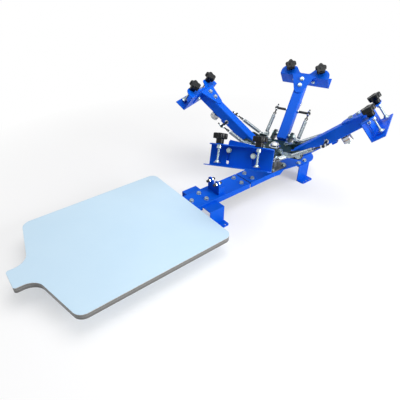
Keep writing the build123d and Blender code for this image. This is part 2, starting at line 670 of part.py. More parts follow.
def arm_hardware():
    """Bolts of the head, clamp bolts, hinge shaft with its nuts, and the roller's screw."""
    pieces = []
    for s in HEAD_BOLT_S:
        pieces.append(Pos(s, 0, TUBE / 2 + HEAD_SHEET) * hex_bolt(HEAD_SHEET + TUBE_WALL))
    for side in (-1, 1):
        bolt = Rot(0, 90, 0) * hex_bolt(CLAMP_SHEET + HEAD_SHEET)
        pieces.append(Pos(WEB_FRONT, side * SLOT_X, CLAMP_BOLT_N) * bolt)
    edge = CHEEK_CENTRE + CHEEK_THICK / 2 + RUNNING_GAP
    shaft = bar_y(0, 0, -edge - HINGE_NUT_HEIGHT, edge + HINGE_NUT_HEIGHT, HINGE_SHAFT)
    for side in (-1, 1):
        nut = Rot(90, 0, 0) * hexagon(HINGE_NUT, -HINGE_NUT_HEIGHT / 2, HINGE_NUT_HEIGHT / 2)
        shaft += Pos(0, side * (edge + HINGE_NUT_HEIGHT / 2), 0) * nut
        near = TUBE / 2
        far = CHEEK_CENTRE - CHEEK_THICK / 2 - RUNNING_GAP
        shaft += Pos(0, side * (near + far) / 2, 0) * Rot(90, 0, 0) * Cylinder(HINGE_NUT / 2, far - near)
    pieces.append(shaft)
    under = ROLLER_LOW - RUNNING_GAP
    screw = Pos(0, 0, under) * Rot(180, 0, 0) * hex_bolt(TUBE_WALL - TUBE / 2 - under)
    screw += disc(0, 0, -TUBE / 2 - ROLLER_SPACER, -TUBE / 2, WASHER)
    pieces.append(Pos(ROLLER_S, 0, 0) * screw)
    return pieces


def roller():
    """Two ball bearings with a bronze ring between them."""
    bore = BOLT + 2 * RUNNING_GAP
    stack = []
    top = ROLLER_TOP
    bearing = (ROLLER_BEARING, ROLLER)
    for height, size in (bearing, (ROLLER_RING, ROLLER_RING_SIZE), bearing):
        ring = disc(ROLLER_S, 0, top - height, top, size)
        stack.append(ring - disc(ROLLER_S, 0, top - height, top, bore))
        top -= height
    return stack


def knob(side):
    """Star knob with its stud, in the clamp's frame."""
    low = CLAMP_TOP + KNOB_STANDOFF
    neck_top = low + KNOB_NECK_HEIGHT
    star = Circle(KNOB / 2 - KNOB_LOBE / 3)
    for i in range(KNOB_LOBES):
        turn = math.radians(90 + 360 * i / KNOB_LOBES)
        reach = KNOB / 2 - KNOB_LOBE / 2
        star += Pos(reach * math.cos(turn), reach * math.sin(turn)) * Circle(KNOB_LOBE / 2)
    grip = Pos(0, 0, neck_top) * extrude(star, KNOB_HEIGHT)
    grip = chamfer(grip.faces().sort_by(Axis.Z)[-1].edges(), KNOB_LOBE / 12)
    grip += disc(0, 0, low, neck_top, KNOB_NECK)
    stud_low = FLANGE_TOP + PAD_STANDOFF + PAD_HEIGHT - PAD_SOCKET + RUNNING_GAP
    grip -= disc(0, 0, low, neck_top + KNOB_HEIGHT / 2, STUD)
    stud = disc(0, 0, stud_low, neck_top + KNOB_HEIGHT / 2, STUD)
    place = Pos(STUD_S, side * STUD_X, 0)
    return [place * grip, place * stud]


def pad(side):
    """Conical pressure pad with a socket for the stud."""
    low = FLANGE_TOP + PAD_STANDOFF
    body = Pos(STUD_S, side * STUD_X, low + PAD_HEIGHT / 2) * Cone(PAD / 2, PAD_TOP / 2, PAD_HEIGHT)
    top = low + PAD_HEIGHT
    return body - disc(STUD_S, side * STUD_X, top - PAD_SOCKET, top + CUT, STUD + 2 * RUNNING_GAP)


def clamp_tilt(k):
    """Placement of arm k's clamp, which may hang askew about its bolts."""
    tilt = FRONT_CLAMP_TILT if k == 0 else 0
    return Pos(0, 0, CLAMP_BOLT_N) * Rot(tilt, 0, 0) * Pos(0, 0, -CLAMP_BOLT_N)


# ------------------------------------------------------------- lift springs
def tension_gear():
    """Cross rod through the tube with an eyebolt at each end, in the spring's frame."""
    rod = bar_y(0, 0, -ROD_HALF, ROD_HALF, ROD)
    for side in (-1, 1):
        nut = Rot(90, 0, 0) * hexagon(HEX + 2, -NUT_HEIGHT / 2, NUT_HEIGHT / 2)
        rod += Pos(0, side * (TUBE / 2 + RUNNING_GAP + NUT_HEIGHT / 2), 0) * nut
        rod -= bar_x(side * SPRING_T, 0, -ROD, ROD, EYEBOLT + RUNNING_GAP)
    pieces = [rod]
    for side in (-1, 1):
        eye = Torus(EYE_RADIUS, EYE_WIRE / 2)
        bolt = Pos(EYE_DISTANCE, side * SPRING_T, 0) * eye
        bolt += bar_x(side * SPRING_T, 0, -EYEBOLT_TAIL, EYE_DISTANCE - EYE_RADIUS, EYEBOLT)
        nut = Rot(0, -90, 0) * hexagon(HEX - 3, 0, NUT_HEIGHT - 1)
        bolt += Pos(-ROD / 2, side * SPRING_T, 0) * nut
        pieces.append(bolt)
    return pieces


def spring():
    """One extension spring as a plain solid: a hook, the coil's outer shape and a long lower loop."""
    eye_side = EYE_DISTANCE + EYE_RADIUS - EYE_WIRE / 2 - RUNNING_GAP - SPRING_WIRE / 2
    top = eye_side + HOOK_RADIUS
    coil_start = top + HOOK_LEAD - SPRING_WIRE / 2
    shortest = spring_line(MAX_RAISE)[0]
    longest = spring_line(0)[0]
    coil_end = shortest - ANCHOR_PIN / 2 - SPRING_WIRE / 2 - 2 * RUNNING_GAP - HOOK_LEAD / 2
    low = longest + ANCHOR_PIN / 2 + RUNNING_GAP + SPRING_WIRE / 2 - HOOK_RADIUS
    body = bar_x(0, 0, coil_start, coil_end, SPRING_OUTSIDE)
    body += Pos(top, 0, 0) * Rot(90, 0, 0) * Torus(HOOK_RADIUS, SPRING_WIRE / 2)
    for z in (-HOOK_RADIUS, HOOK_RADIUS):
        body += bar_x(0, z, coil_end - SPRING_WIRE, low, SPRING_WIRE)
    bend = Torus(HOOK_RADIUS, SPRING_WIRE / 2, major_angle=180, align=None)
    return body + Pos(low, 0, 0) * Rot(90, 0, 0) * Rot(0, 0, -90) * bend


# ---------------------------------------------------------------------- build
def build_root():
    save("front_base", front_base())
    save("rear_base", rear_base())
    save("spine_bar", spine_bar())
    save("front_foot_bracket", foot(FRONT_FOOT_HALF, FRONT_FOOT_Y, SPINE_LOW, FRONT_FOOT_BOLTS))
    save("rear_foot_bracket", foot(REAR_FOOT_HALF, REAR_FOOT_Y, BASE_UNDER, REAR_FOOT_BOLTS))
    save("frame_bolts", frame_bolts())
    save("gate_bracket", gate_bracket())
    save("gate_stop_bolts", gate_stop_bolts())
    save("platen", platen())
    save("platen_support", platen_support())
    save("platen_screws", platen_screws())
    save("spindle_post", spindle_post())
    save("pivot_nut", pivot_nut())


def build_carousel():
    save("hub", hub())
    save("hinge_bearings", hinge_bearings())
    save("spring_anchors", spring_anchors())


def build_arms():
    shapes = {"arm_tube": arm_tube(), "head_bracket": head_bracket(), "arm_hardware": arm_hardware(),
              "roller": roller()}
    clamp = {"clamp_channel": clamp_channel(), "left_knob": knob(1), "right_knob": knob(-1),
             "left_pad": pad(1), "right_pad": pad(-1)}
    gear = {"tension_gear": tension_gear(),
            "springs": [Pos(0, side * SPRING_T, 0) * spring() for side in (-1, 1)]}
    for k, name in enumerate(ARM_NAMES):
        for part, shape in shapes.items():
            place(f"{name}_{part}", arm_plane(k).location, shape)
        for part, shape in clamp.items():
            place(f"{name}_{part}", arm_plane(k).location * clamp_tilt(k), shape)
        for part, shape in gear.items():
            place(f"{name}_{part}", spring_plane(k).location, shape)


def place(name, location, shape):
    """Save a shape or a list of shapes at a location."""
    items = shape if isinstance(shape, list) else [shape]
    save(name, [location * item for item in items])


def main():
    os.makedirs("parts", exist_ok=True)
    build_root()
    build_carousel()
    build_arms()


main()
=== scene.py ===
"""Looks of the tabletop screen printing press, in metres.

Finishes, fine pieces, studio and camera on the CAD's own frame.
"""

import json
import math

import bmesh
import bpy
from mathutils import Matrix, Vector


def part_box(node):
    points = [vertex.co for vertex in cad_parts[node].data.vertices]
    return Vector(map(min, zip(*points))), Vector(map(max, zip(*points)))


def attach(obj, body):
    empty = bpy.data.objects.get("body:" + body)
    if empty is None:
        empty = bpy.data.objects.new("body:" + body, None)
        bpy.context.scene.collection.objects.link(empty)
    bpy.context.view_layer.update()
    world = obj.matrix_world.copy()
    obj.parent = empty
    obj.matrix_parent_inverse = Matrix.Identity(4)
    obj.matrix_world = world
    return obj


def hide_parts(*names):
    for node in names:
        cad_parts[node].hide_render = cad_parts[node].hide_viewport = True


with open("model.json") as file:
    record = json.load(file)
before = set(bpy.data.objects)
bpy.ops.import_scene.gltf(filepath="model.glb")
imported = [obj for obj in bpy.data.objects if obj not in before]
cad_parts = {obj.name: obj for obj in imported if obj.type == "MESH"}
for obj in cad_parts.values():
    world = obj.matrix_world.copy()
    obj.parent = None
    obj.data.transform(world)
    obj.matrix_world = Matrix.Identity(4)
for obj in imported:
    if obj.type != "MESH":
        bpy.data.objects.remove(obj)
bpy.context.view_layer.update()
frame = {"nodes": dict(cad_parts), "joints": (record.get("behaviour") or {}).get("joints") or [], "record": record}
MM = 0.001
SHARP = math.radians(33)    # a fold past this stays a hard edge

# ------------------------------------------------------------------- sizes, mm
ARMS = ("front", "right", "back", "left")
SIDES = ("left", "right")
ANCHOR_RADIAL = 80.0
ANCHOR_Z = 166.0
ANCHOR_PIN = 5.0
TUBE = 40.0
TUBE_WALL = 2.0

BASE_TOP = 72.0
PLATEN_THICK = 18.0
PLATEN_TOP = 77.0
SPLICE_Y = -160.0
SPLICE_BOLT_OFFSET = 28.0
SPLICE_BOLT_X = 21.5
SPINE_GRIP = 10.0           # sheet and bar between a bolt's washer and its nut
FOOT_GRIP = 20.0
FRONT_FOOT_Y = -354.6
NOSE_BOLT_Y = -403.0
NOSE_SPACER_UP = 7.0        # from the nut to the spacer washer on the nose bolt
NOSE_SPACER_THICK = 3.0
POST_BOLT = 31.0
POST_FLANGE_THICK = 6.0
REAR_FOOT_Y = 116.0
REAR_BOLT_X = 54.0
REAR_BOLT_SPREAD = 36.0
REAR_GRIP = 6.0

GATE_FRONT = -306.5
GATE_SHEET = 4.0
GATE_BOLT_X = 18.0
GATE_BOLT_Z = 112.0
GATE_TIP = 12.0
GATE_TIP_LENGTH = 8.0
GATE_FOOT_Y = -293.0

BOLT = 8.0
BOLT_PITCH = 1.25
HEX = 13.0
HEAD_HEIGHT = 5.3
NUT_HEIGHT = 6.5
WASHER = 17.0
WASHER_THICK = 1.6
WASHER_EDGE = 0.25
THREAD_TAIL = 3.0           # thread that shows past a nut
THREAD_DEPTH = 0.55         # share of the pitch
THREAD_ROWS = 4             # rows of the mesh to each turn of thread
NUT_BORE_INSET = 1.0        # a nut's bore is smaller than the thread that it hides
HEX_FACE = 0.47             # radius of a head's round face, as a share of its width
HEX_SLOPE = math.radians(30)
BORE_EDGE = 0.5
DISH = 0.25                 # depth of the dished end of a head, and its rim and floor as
DISH_RIM = 0.82             # shares of the round face
DISH_FLOOR = 0.78

HEAD_BOLT_S = (214.0, 242.0)
HEAD_SHEET = 4.0
CLAMP_SHEET = 3.0
CLAMP_BOLT_S = 263.5
CLAMP_BOLT_T = 40.0
CLAMP_BOLT_N = -8.0
HINGE_SHAFT = 12.0
HINGE_NUT = 19.0
HINGE_NUT_HEIGHT = 7.0
HINGE_SHAFT_EDGE = 1.0
CHEEK_CENTRE = 35.0
CHEEK_THICK = 10.0
CHEEK_GAP = 0.3
HINGE_BEARING = 27.85
ROLLER_S = 168.0
ROLLER_TOP = -24.3
ROLLER_BEARING = 10.0
ROLLER_RING = 2.0
ROLLER = 35.0
ROLLER_RING_SIZE = 32.0
ROLLER_BORE = 8.6
ROLLER_SPACER = 4.0
BEARING_RIM = 0.11          # width of a bearing's ring, as a share of outside less bore
BEARING_HUB = 1.2           # width of its inner ring, as a share of the outer ring's
BEARING_EDGE = 0.5
SEAL_SUNK = 0.5

KNOB_LOW = 13.2
KNOB_NECK = 24.0
KNOB_NECK_HEIGHT = 14.0
KNOB_HEIGHT = 17.0
KNOB = 45.0
KNOB_LOBE = 15.0
KNOB_LOBES = 5
KNOB_BLEND = 0.7            # softness of the joint between lobes and core
KNOB_FOOT = ((3.0, 0.0), (1.2, 0.3), (0.4, 1.0), (0.0, 2.2))      # inset and height
KNOB_CROWN = ((0.0, 4.0), (0.25, 2.2), (1.0, 0.9), (2.2, 0.2), (3.6, 0.0))    # inset and depth
KNOB_CAP = 9.5              # radius of the sunk cap on top
KNOB_CAP_SUNK = 1.2
STUD = 7.4
STUD_LOW = -42.0
COLLAR = 14.0
COLLAR_TOP = 9.5
COLLAR_LENGTH = 11.0
COLLAR_SKIN = 0.15          # how far the bright skin stands off the solid nut
COLLAR_DROP = 0.02          # gap under the ear
COLLAR_EDGE = 0.8
PAD_LOW = -45.3
PAD = 23.0
PAD_TOP = 12.0
PAD_HEIGHT = 8.0
PAD_SOCKET = 5.0

SPRING_T = 66.5
SPRING_OUTSIDE = 15.0
SPRING_WIRE = 2.6
HOOK_RADIUS = 4.8
HOOK_LEAD = 5.0             # along the axis from a hook's centre to the first turn
LEAD_SHARE = 0.6            # of the lead, covered while the wire grows out to the coil
HOOK_ARC = (75, 262)        # degrees of the upper hook
LOOP_ARC = (-90, 90)        # degrees of the long loop's lower end
COIL_BLEND = 60             # degrees over which the wire grows out to the coil
COIL_STEP = 20
COIL_SLACK = 0.06           # taken off the wire so that its turns don't meet
RUNNING_GAP = 0.3
ROD = 10.0
ROD_HALF = 74.0
ROD_EDGE = 0.8
ROD_NUT = 15.0
EYEBOLT = 6.0
EYEBOLT_PITCH = 1.0
EYEBOLT_NUT = 10.0
EYEBOLT_NUT_HEIGHT = 5.5
EYE_DISTANCE = 28.0
EYE_RADIUS = 5.0
EYE_WIRE = 4.0
EYE_STEPS = 32
EYEBOLT_TAIL = 19.0

# -------------------------------------------------------- camera, studio, metres
CAMERA_AZIMUTH = 52.2       # degrees from -Y towards +X
CAMERA_ELEVATION = 35.2
CAMERA_DISTANCE = 1.2981
CAMERA_TARGET = Vector((-0.0047, -0.3630, 0.0568))
CAMERA_LENS = 32.886
SENSOR = 36.0
CAMERA_RANGE = (0.01, 50.0)
STUDIO_MIDDLE = Vector((0.0, -0.35, 0.0))
LIGHT_AIM = Vector((0.0, -0.35, 0.1))
LIGHTS = (                  # name, place, size and power
    ("key", (2.4, 0.7, 1.15), 1.2, 58.0),
    ("overhead", (0.25, -0.05, 2.1), 1.8, 33.0),
)
FLOOR_HALF = 12.0
FLOOR_TONE = (0.94, 0.94, 0.945, 1.0)
FLOOR_ROUGH = 0.9
FLOOR_NEAR = 0.45           # from here the floor fades to plain white, reached at the far value
FLOOR_FAR = 1.3
FLOOR_WHITE = 0.4           # share of plain white in the near floor
DOME = ((0.0, 0.05), (0.15, 0.08), (0.5, 0.16), (1.0, 0.55))    # height and tone


# =============================================================== shader helpers
def new_node(tree, kind, **values):
    """Node with its settings; a socket is set by its name with _ for each space."""
    made = tree.nodes.new(kind)
    for name, value in values.items():
        socket = made.inputs.get(name.replace("_", " ").strip())
        if socket is not None:
            socket.default_value = value
        else:
            setattr(made, name, value)
    return made


def shader_group(name, inputs, outputs):
    """Empty node group with named sockets, and its input and output nodes."""
    tree = bpy.data.node_groups.new(name, "ShaderNodeTree")
    for label, kind, value in inputs:
        socket = tree.interface.new_socket(label, in_out="INPUT", socket_type="NodeSocket" + kind)
        if value is not None:
            socket.default_value = value
    for label, kind in outputs:
        tree.interface.new_socket(label, in_out="OUTPUT", socket_type="NodeSocket" + kind)
    return tree, tree.nodes.new("NodeGroupInput"), tree.nodes.new("NodeGroupOutput")


def cloud_group():
    """Soft uneven value between two limits, from noise at one scale."""
    tree, given, result = shader_group(
        "Cloud",
        [("Vector", "Vector", None), ("Scale", "Float", 40.0), ("Detail", "Float", 4.0),
         ("Low", "Float", 0.0), ("High", "Float", 1.0)],
        [("Value", "Float")])
    noise = new_node(tree, "ShaderNodeTexNoise", Roughness=0.6)
    spread = new_node(tree, "ShaderNodeMapRange", From_Min=0.32, From_Max=0.68)
    links = tree.links
    links.new(given.outputs["Vector"], noise.inputs["Vector"])
    links.new(given.outputs["Scale"], noise.inputs["Scale"])
    links.new(given.outputs["Detail"], noise.inputs["Detail"])
    links.new(noise.outputs["Fac"], spread.inputs["Value"])
    links.new(given.outputs["Low"], spread.inputs["To Min"])
    links.new(given.outputs["High"], spread.inputs["To Max"])
    links.new(spread.outputs["Result"], result.inputs["Value"])
    return tree


def edge_group():
    """Rounded normal, and a mask of the edges, for rubbed wear and for painted edge highlights."""
    tree, given, result = shader_group(
        "Edge",
        [("Vector", "Vector", None), ("Radius", "Float", 0.001), ("Breakup", "Float", 250.0)],
        [("Mask", "Float"), ("Normal", "Vector")])
    bevel = new_node(tree, "ShaderNodeBevel", samples=6)
    plain = new_node(tree, "ShaderNodeNewGeometry")
    dot = new_node(tree, "ShaderNodeVectorMath", operation="DOT_PRODUCT")
    bend = new_node(tree, "ShaderNodeMapRange", From_Min=0.995, From_Max=0.86)
    noise = new_node(tree, "ShaderNodeTexNoise", Detail=5.0, Roughness=0.7)
    # patches that break up the edge mask, for the wear and the painted highlight alike
    edge_breakup = new_node(tree, "ShaderNodeMapRange", From_Min=0.42, From_Max=0.62)
    both = new_node(tree, "ShaderNodeMath", operation="MULTIPLY")
    links = tree.links
    links.new(given.outputs["Radius"], bevel.inputs["Radius"])
    links.new(bevel.outputs["Normal"], dot.inputs[0])
    links.new(plain.outputs["Normal"], dot.inputs[1])
    links.new(dot.outputs["Value"], bend.inputs["Value"])
    links.new(given.outputs["Vector"], noise.inputs["Vector"])
    links.new(given.outputs["Breakup"], noise.inputs["Scale"])
    links.new(noise.outputs["Fac"], edge_breakup.inputs["Value"])
    links.new(bend.outputs["Result"], both.inputs[0])
    links.new(edge_breakup.outputs["Result"], both.inputs[1])
    links.new(both.outputs["Value"], result.inputs["Mask"])
    links.new(bevel.outputs["Normal"], result.inputs["Normal"])
    return tree


def relief_group():
    """Fine surface relief as a normal, on top of a given normal."""
    tree, given, result = shader_group(
        "Relief",
        [("Vector", "Vector", None), ("Scale", "Float", 900.0), ("Depth", "Float", 0.00002),
         ("Strength", "Float", 0.3), ("Normal", "Vector", None)],
        [("Normal", "Vector")])
    noise = new_node(tree, "ShaderNodeTexNoise", Detail=3.0, Roughness=0.55)
    bump = new_node(tree, "ShaderNodeBump")
    links = tree.links
    links.new(given.outputs["Vector"], noise.inputs["Vector"])
    links.new(given.outputs["Scale"], noise.inputs["Scale"])
    links.new(noise.outputs["Fac"], bump.inputs["Height"])
    links.new(given.outputs["Depth"], bump.inputs["Distance"])
    links.new(given.outputs["Strength"], bump.inputs["Strength"])
    links.new(given.outputs["Normal"], bump.inputs["Normal"])
    links.new(bump.outputs["Normal"], result.inputs["Normal"])
    return tree


GROUPS = {"Cloud": cloud_group(), "Edge": edge_group(), "Relief": relief_group()}


def use_group(tree, name, coordinates, **values):
    """Shared group placed in a material, fed with the material's coordinates."""
    made = tree.nodes.new("ShaderNodeGroup")
    made.node_tree = GROUPS[name]
    tree.links.new(coordinates, made.inputs["Vector"])
    for label, value in values.items():
        made.inputs[label].default_value = value
    return made


def blend_colour(tree, mask, first, second):
    """Colour between two by a mask; each is a constant or a socket."""
    mix = new_node(tree, "ShaderNodeMix", data_type="RGBA")
    tree.links.new(mask, mix.inputs["Factor"])
    for socket, value in ((mix.inputs[6], first), (mix.inputs[7], second)):
        if isinstance(value, tuple):
            socket.default_value = (*value, 1.0)
        else:
            tree.links.new(value, socket)
    return mix.outputs[2]


def finish_material(name, light, dark, rough, patch, relief, edge, metallic=0.0, edge_wear_and_highlight=None,
                    edge_wear_and_highlight_amount=0.0, specular=0.5):
    """Surface with uneven colour and gloss, fine relief, softened edges, and edges in another colour, which is
    rubbed wear, and on the blue paint a painted edge highlight.

    Patch is the scale of the unevenness, relief the fine one's scale, depth and strength,
    rough the two ends of the gloss, and edge the radius of the softening in metres.
    """
    material = bpy.data.materials.new(name)
    material.use_nodes = True
    tree = material.node_tree
    shader = tree.nodes["Principled BSDF"]
    place = new_node(tree, "ShaderNodeTexCoord").outputs["Object"]
    shade = use_group(tree, "Cloud", place, Scale=patch, Detail=6.0)
    colour = blend_colour(tree, shade.outputs["Value"], light, dark)
    gloss = use_group(tree, "Cloud", place, Scale=patch * 3.1, Detail=5.0, Low=rough[0],
                      High=rough[1])
    tree.links.new(gloss.outputs["Value"], shader.inputs["Roughness"])
    rim = use_group(tree, "Edge", place, Radius=edge)
    # edges in another colour: rubbed wear, and on the blue paint a painted highlight along the folded edges
    if edge_wear_and_highlight is not None:
        amount = new_node(tree, "ShaderNodeMath", operation="MULTIPLY")
        amount.inputs[1].default_value = edge_wear_and_highlight_amount
        tree.links.new(rim.outputs["Mask"], amount.inputs[0])
        colour = blend_colour(tree, amount.outputs["Value"], colour, edge_wear_and_highlight)
    tree.links.new(colour, shader.inputs["Base Color"])
    fine = use_group(tree, "Relief", place, Scale=relief[0], Depth=relief[1], Strength=relief[2])
    tree.links.new(rim.outputs["Normal"], fine.inputs["Normal"])
    tree.links.new(fine.outputs["Normal"], shader.inputs["Normal"])
    shader.inputs["Metallic"].default_value = metallic
    shader.inputs["Specular IOR Level"].default_value = specular
    material.diffuse_color = (*light, 1.0)
    return material


def board_material():
    """Pale laminate on both faces and a grey edge with the lines of its layers."""
    material = finish_material(
        "board", (0.575, 0.75, 0.88), (0.545, 0.725, 0.865), (0.30, 0.42), patch=5.0,
        relief=(1400.0, 0.00001, 0.25), edge=0.0012, specular=0.35)
    tree = material.node_tree
    shader = tree.nodes["Principled BSDF"]
    links = tree.links
    face_colour = shader.inputs["Base Color"].links[0].from_socket
    place = new_node(tree, "ShaderNodeTexCoord").outputs["Object"]
    split = new_node(tree, "ShaderNodeSeparateXYZ")
    links.new(place, split.inputs["Vector"])
    height = new_node(tree, "ShaderNodeMapRange", From_Min=(PLATEN_TOP - PLATEN_THICK) * MM,
                      From_Max=PLATEN_TOP * MM)
    links.new(split.outputs["Z"], height.inputs["Value"])
    layers = new_node(tree, "ShaderNodeValToRGB")
    stops = ((0.0, 0.33), (0.05, 0.33), (0.07, 0.17), (0.46, 0.20), (0.50, 0.42), (0.54, 0.21),
             (0.90, 0.24), (0.925, 0.60), (1.0, 0.66))
    ramp = layers.color_ramp
    for where, tone in stops[1:-1]:
        ramp.elements.new(where)
    for element, (where, tone) in zip(ramp.elements, stops):
        element.position = where
        element.color = (tone, tone * 0.985, tone * 0.95, 1.0)
    links.new(height.outputs["Result"], layers.inputs["Fac"])
    fibre = use_group(tree, "Cloud", place, Scale=420.0, Detail=5.0)
    stretch = new_node(tree, "ShaderNodeMapping")
    stretch.inputs["Scale"].default_value = (1.0, 1.0, 7.0)
    links.new(place, stretch.inputs["Vector"])
    links.new(stretch.outputs["Vector"], fibre.inputs["Vector"])
    speckled = new_node(tree, "ShaderNodeMix", data_type="RGBA", blend_type="MULTIPLY")
    speckled.inputs["Factor"].default_value = 0.35
    links.new(layers.outputs["Color"], speckled.inputs[6])
    links.new(fibre.outputs["Value"], speckled.inputs[7])
    facing = new_node(tree, "ShaderNodeNewGeometry")
    normal = new_node(tree, "ShaderNodeSeparateXYZ")
    links.new(facing.outputs["Normal"], normal.inputs["Vector"])
    upright = new_node(tree, "ShaderNodeMath", operation="ABSOLUTE")
    links.new(normal.outputs["Z"], upright.inputs[0])
    flat = new_node(tree, "ShaderNodeMath", operation="GREATER_THAN")
    flat.inputs[1].default_value = 0.5
    links.new(upright.outputs["Value"], flat.inputs[0])
    colour = blend_colour(tree, flat.outputs["Value"], speckled.outputs[2], face_colour)
    links.new(colour, shader.inputs["Base Color"])
    return material


def build_materials():
    """Every finish of the press by its slot, and the few that no slot has."""
    made = {"board": board_material()}
    # the lighter blue along the edges is a painted highlight of the folded edges, not wear
    made["blue_paint"] = finish_material(
        "blue_paint", (0.001, 0.110, 0.70), (0.001, 0.097, 0.64), (0.34, 0.46), patch=14.0,
        relief=(700.0, 0.00001, 0.25), edge=0.0016, edge_wear_and_highlight=(0.06, 0.26, 1.0), edge_wear_and_highlight_amount=0.8,
        specular=0.10)
    made["zinc"] = finish_material(
        "zinc", (0.46, 0.55, 0.56), (0.32, 0.40, 0.41), (0.22, 0.38), metallic=1.0, patch=90.0,
        relief=(1500.0, 0.00002, 0.35), edge=0.0004, edge_wear_and_highlight=(0.80, 0.82, 0.84), edge_wear_and_highlight_amount=0.6)
    made["chrome"] = finish_material(
        "chrome", (0.62, 0.65, 0.67), (0.50, 0.53, 0.55), (0.08, 0.18), metallic=1.0, patch=60.0,
        relief=(1200.0, 0.00001, 0.2), edge=0.0006)
    made["spring_steel"] = finish_material(
        "spring_steel", (0.40, 0.45, 0.47), (0.27, 0.31, 0.33), (0.22, 0.34), metallic=1.0,
        patch=120.0, relief=(2200.0, 0.00001, 0.3), edge=0.0002)
    made["hub_paint"] = finish_material(
        "hub_paint", (0.003, 0.026, 0.028), (0.001, 0.012, 0.014), (0.30, 0.50), patch=45.0,
        relief=(380.0, 0.00012, 0.45), edge=0.0012, edge_wear_and_highlight=(0.05, 0.10, 0.10), edge_wear_and_highlight_amount=0.5,
        specular=0.2)
    made["black_steel"] = finish_material(
        "black_steel", (0.006, 0.009, 0.011), (0.003, 0.004, 0.005), (0.26, 0.42), metallic=0.2,
        patch=120.0, relief=(1300.0, 0.00002, 0.3), edge=0.0004, edge_wear_and_highlight=(0.20, 0.20, 0.21),
        edge_wear_and_highlight_amount=0.4)
    made["bearing_steel"] = finish_material(
        "bearing_steel", (0.50, 0.52, 0.54), (0.38, 0.40, 0.42), (0.16, 0.28), metallic=1.0,
        patch=70.0, relief=(1700.0, 0.00001, 0.25), edge=0.0004)
    made["knob_plastic"] = finish_material(
        "knob_plastic", (0.002, 0.004, 0.006), (0.001, 0.002, 0.003), (0.22, 0.34), patch=80.0,
        relief=(1100.0, 0.00003, 0.4), edge=0.0010, edge_wear_and_highlight=(0.03, 0.035, 0.04), edge_wear_and_highlight_amount=0.4,
        specular=0.22)
    made["dark_steel"] = finish_material(
        "dark_steel", (0.20, 0.21, 0.23), (0.12, 0.13, 0.14), (0.30, 0.50), metallic=0.9,
        patch=40.0, relief=(900.0, 0.00003, 0.35), edge=0.0008, edge_wear_and_highlight=(0.5, 0.5, 0.52),
        edge_wear_and_highlight_amount=0.5)
    made["rubber"] = finish_material(
        "rubber", (0.014, 0.014, 0.014), (0.008, 0.008, 0.008), (0.48, 0.66), patch=150.0,
        relief=(1600.0, 0.00004, 0.4), edge=0.0008)
    made["bronze"] = finish_material(
        "bronze", (0.50, 0.27, 0.09), (0.36, 0.18, 0.06), (0.24, 0.42), metallic=1.0, patch=160.0,
        relief=(1500.0, 0.00002, 0.3), edge=0.0004)
    made["seal"] = finish_material(
        "seal", (0.05, 0.052, 0.055), (0.03, 0.031, 0.033), (0.35, 0.5), patch=200.0,
        relief=(1600.0, 0.00002, 0.3), edge=0.0003)
    return made


MATERIALS = build_materials()


# ================================================================ mesh helpers
def joined(bm, part, place, slot):
    """Adds one shaped part to its piece, at its place and in metres."""
    bmesh.ops.recalc_face_normals(part, faces=part.faces)
    bmesh.ops.transform(part, matrix=place @ Matrix.Scale(MM, 4), verts=part.verts)
    for face in part.faces:
        face.material_index = slot
    holder = bpy.data.meshes.new("part")
    part.to_mesh(holder)
    part.free()
    bm.from_mesh(holder)
    bpy.data.meshes.remove(holder)


def extruded(bm, place, rings, slot, closed):
    """Circle whose edges are extruded from ring to ring, then closed by end faces or on itself."""
    part = bmesh.new()
    loop = bmesh.ops.create_circle(part, segments=len(rings[0]), radius=1.0)["verts"]
    edges = first = list(part.edges)
    for vert, spot in zip(loop, rings[0]):
        vert.co = spot
    for ring in rings[1:]:
        made = bmesh.ops.extrude_edge_only(part, edges=edges)["geom"]
        fresh = {item for item in made if isinstance(item, bmesh.types.BMVert)}
        edges = [item for item in made
                 if isinstance(item, bmesh.types.BMEdge) and fresh.issuperset(item.verts)]
        loop = [next(edge.other_vert(vert) for edge in vert.link_edges
                     if edge.other_vert(vert) in fresh)
                for vert in loop]
        for vert, spot in zip(loop, ring):
            vert.co = spot
    if closed:
        bmesh.ops.bridge_loops(part, edges=first + edges)
    else:
        bmesh.ops.edgeloop_fill(part, edges=first)
        bmesh.ops.edgeloop_fill(part, edges=edges)
    joined(bm, part, place, slot)


def turned_form(bm, place, rows, segments, slot, ring):
    """Profile of (radius, height) rows spun about Z, down to the axis or as a closed ring."""
    part = bmesh.new()
    spots = list(rows) if ring else [(0.0, rows[0][1])] + list(rows) + [(0.0, rows[-1][1])]
    verts = [part.verts.new((radius, 0, height)) for radius, height in spots]
    edges = [part.edges.new(pair) for pair in zip(verts, verts[1:])]
    if ring:
        edges.append(part.edges.new((verts[-1], verts[0])))
    bmesh.ops.spin(part, geom=verts + edges, cent=(0, 0, 0), axis=(0, 0, 1), angle=2 * math.pi,
                   steps=segments, use_merge=True)
    bmesh.ops.remove_doubles(part, verts=part.verts, dist=1e-5)
    joined(bm, part, place, slot)


def shaped_form(bm, place, rows, segments, slot, ring):
    """As turned_form, where a radius or a height may be a function of the turn about the axis."""
    turns = [2 * math.pi * i / segments for i in range(segments)]
    rings = []
    for radius, height in rows:
        spots = []
        for turn in turns:
            r = radius(turn) if callable(radius) else radius
            h = height(turn) if callable(height) else height
            spots.append((r * math.cos(turn), r * math.sin(turn), h))
        rings.append(spots)
    extruded(bm, place, rings, slot, ring)


def wall(bm, place, rows, segments=32, slot=0, ring=False):
    """Turned form, or a shaped one where a row asks for it."""
    plain = not any(callable(value) for row in rows for value in row)
    (turned_form if plain else shaped_form)(bm, place, rows, segments, slot, ring)


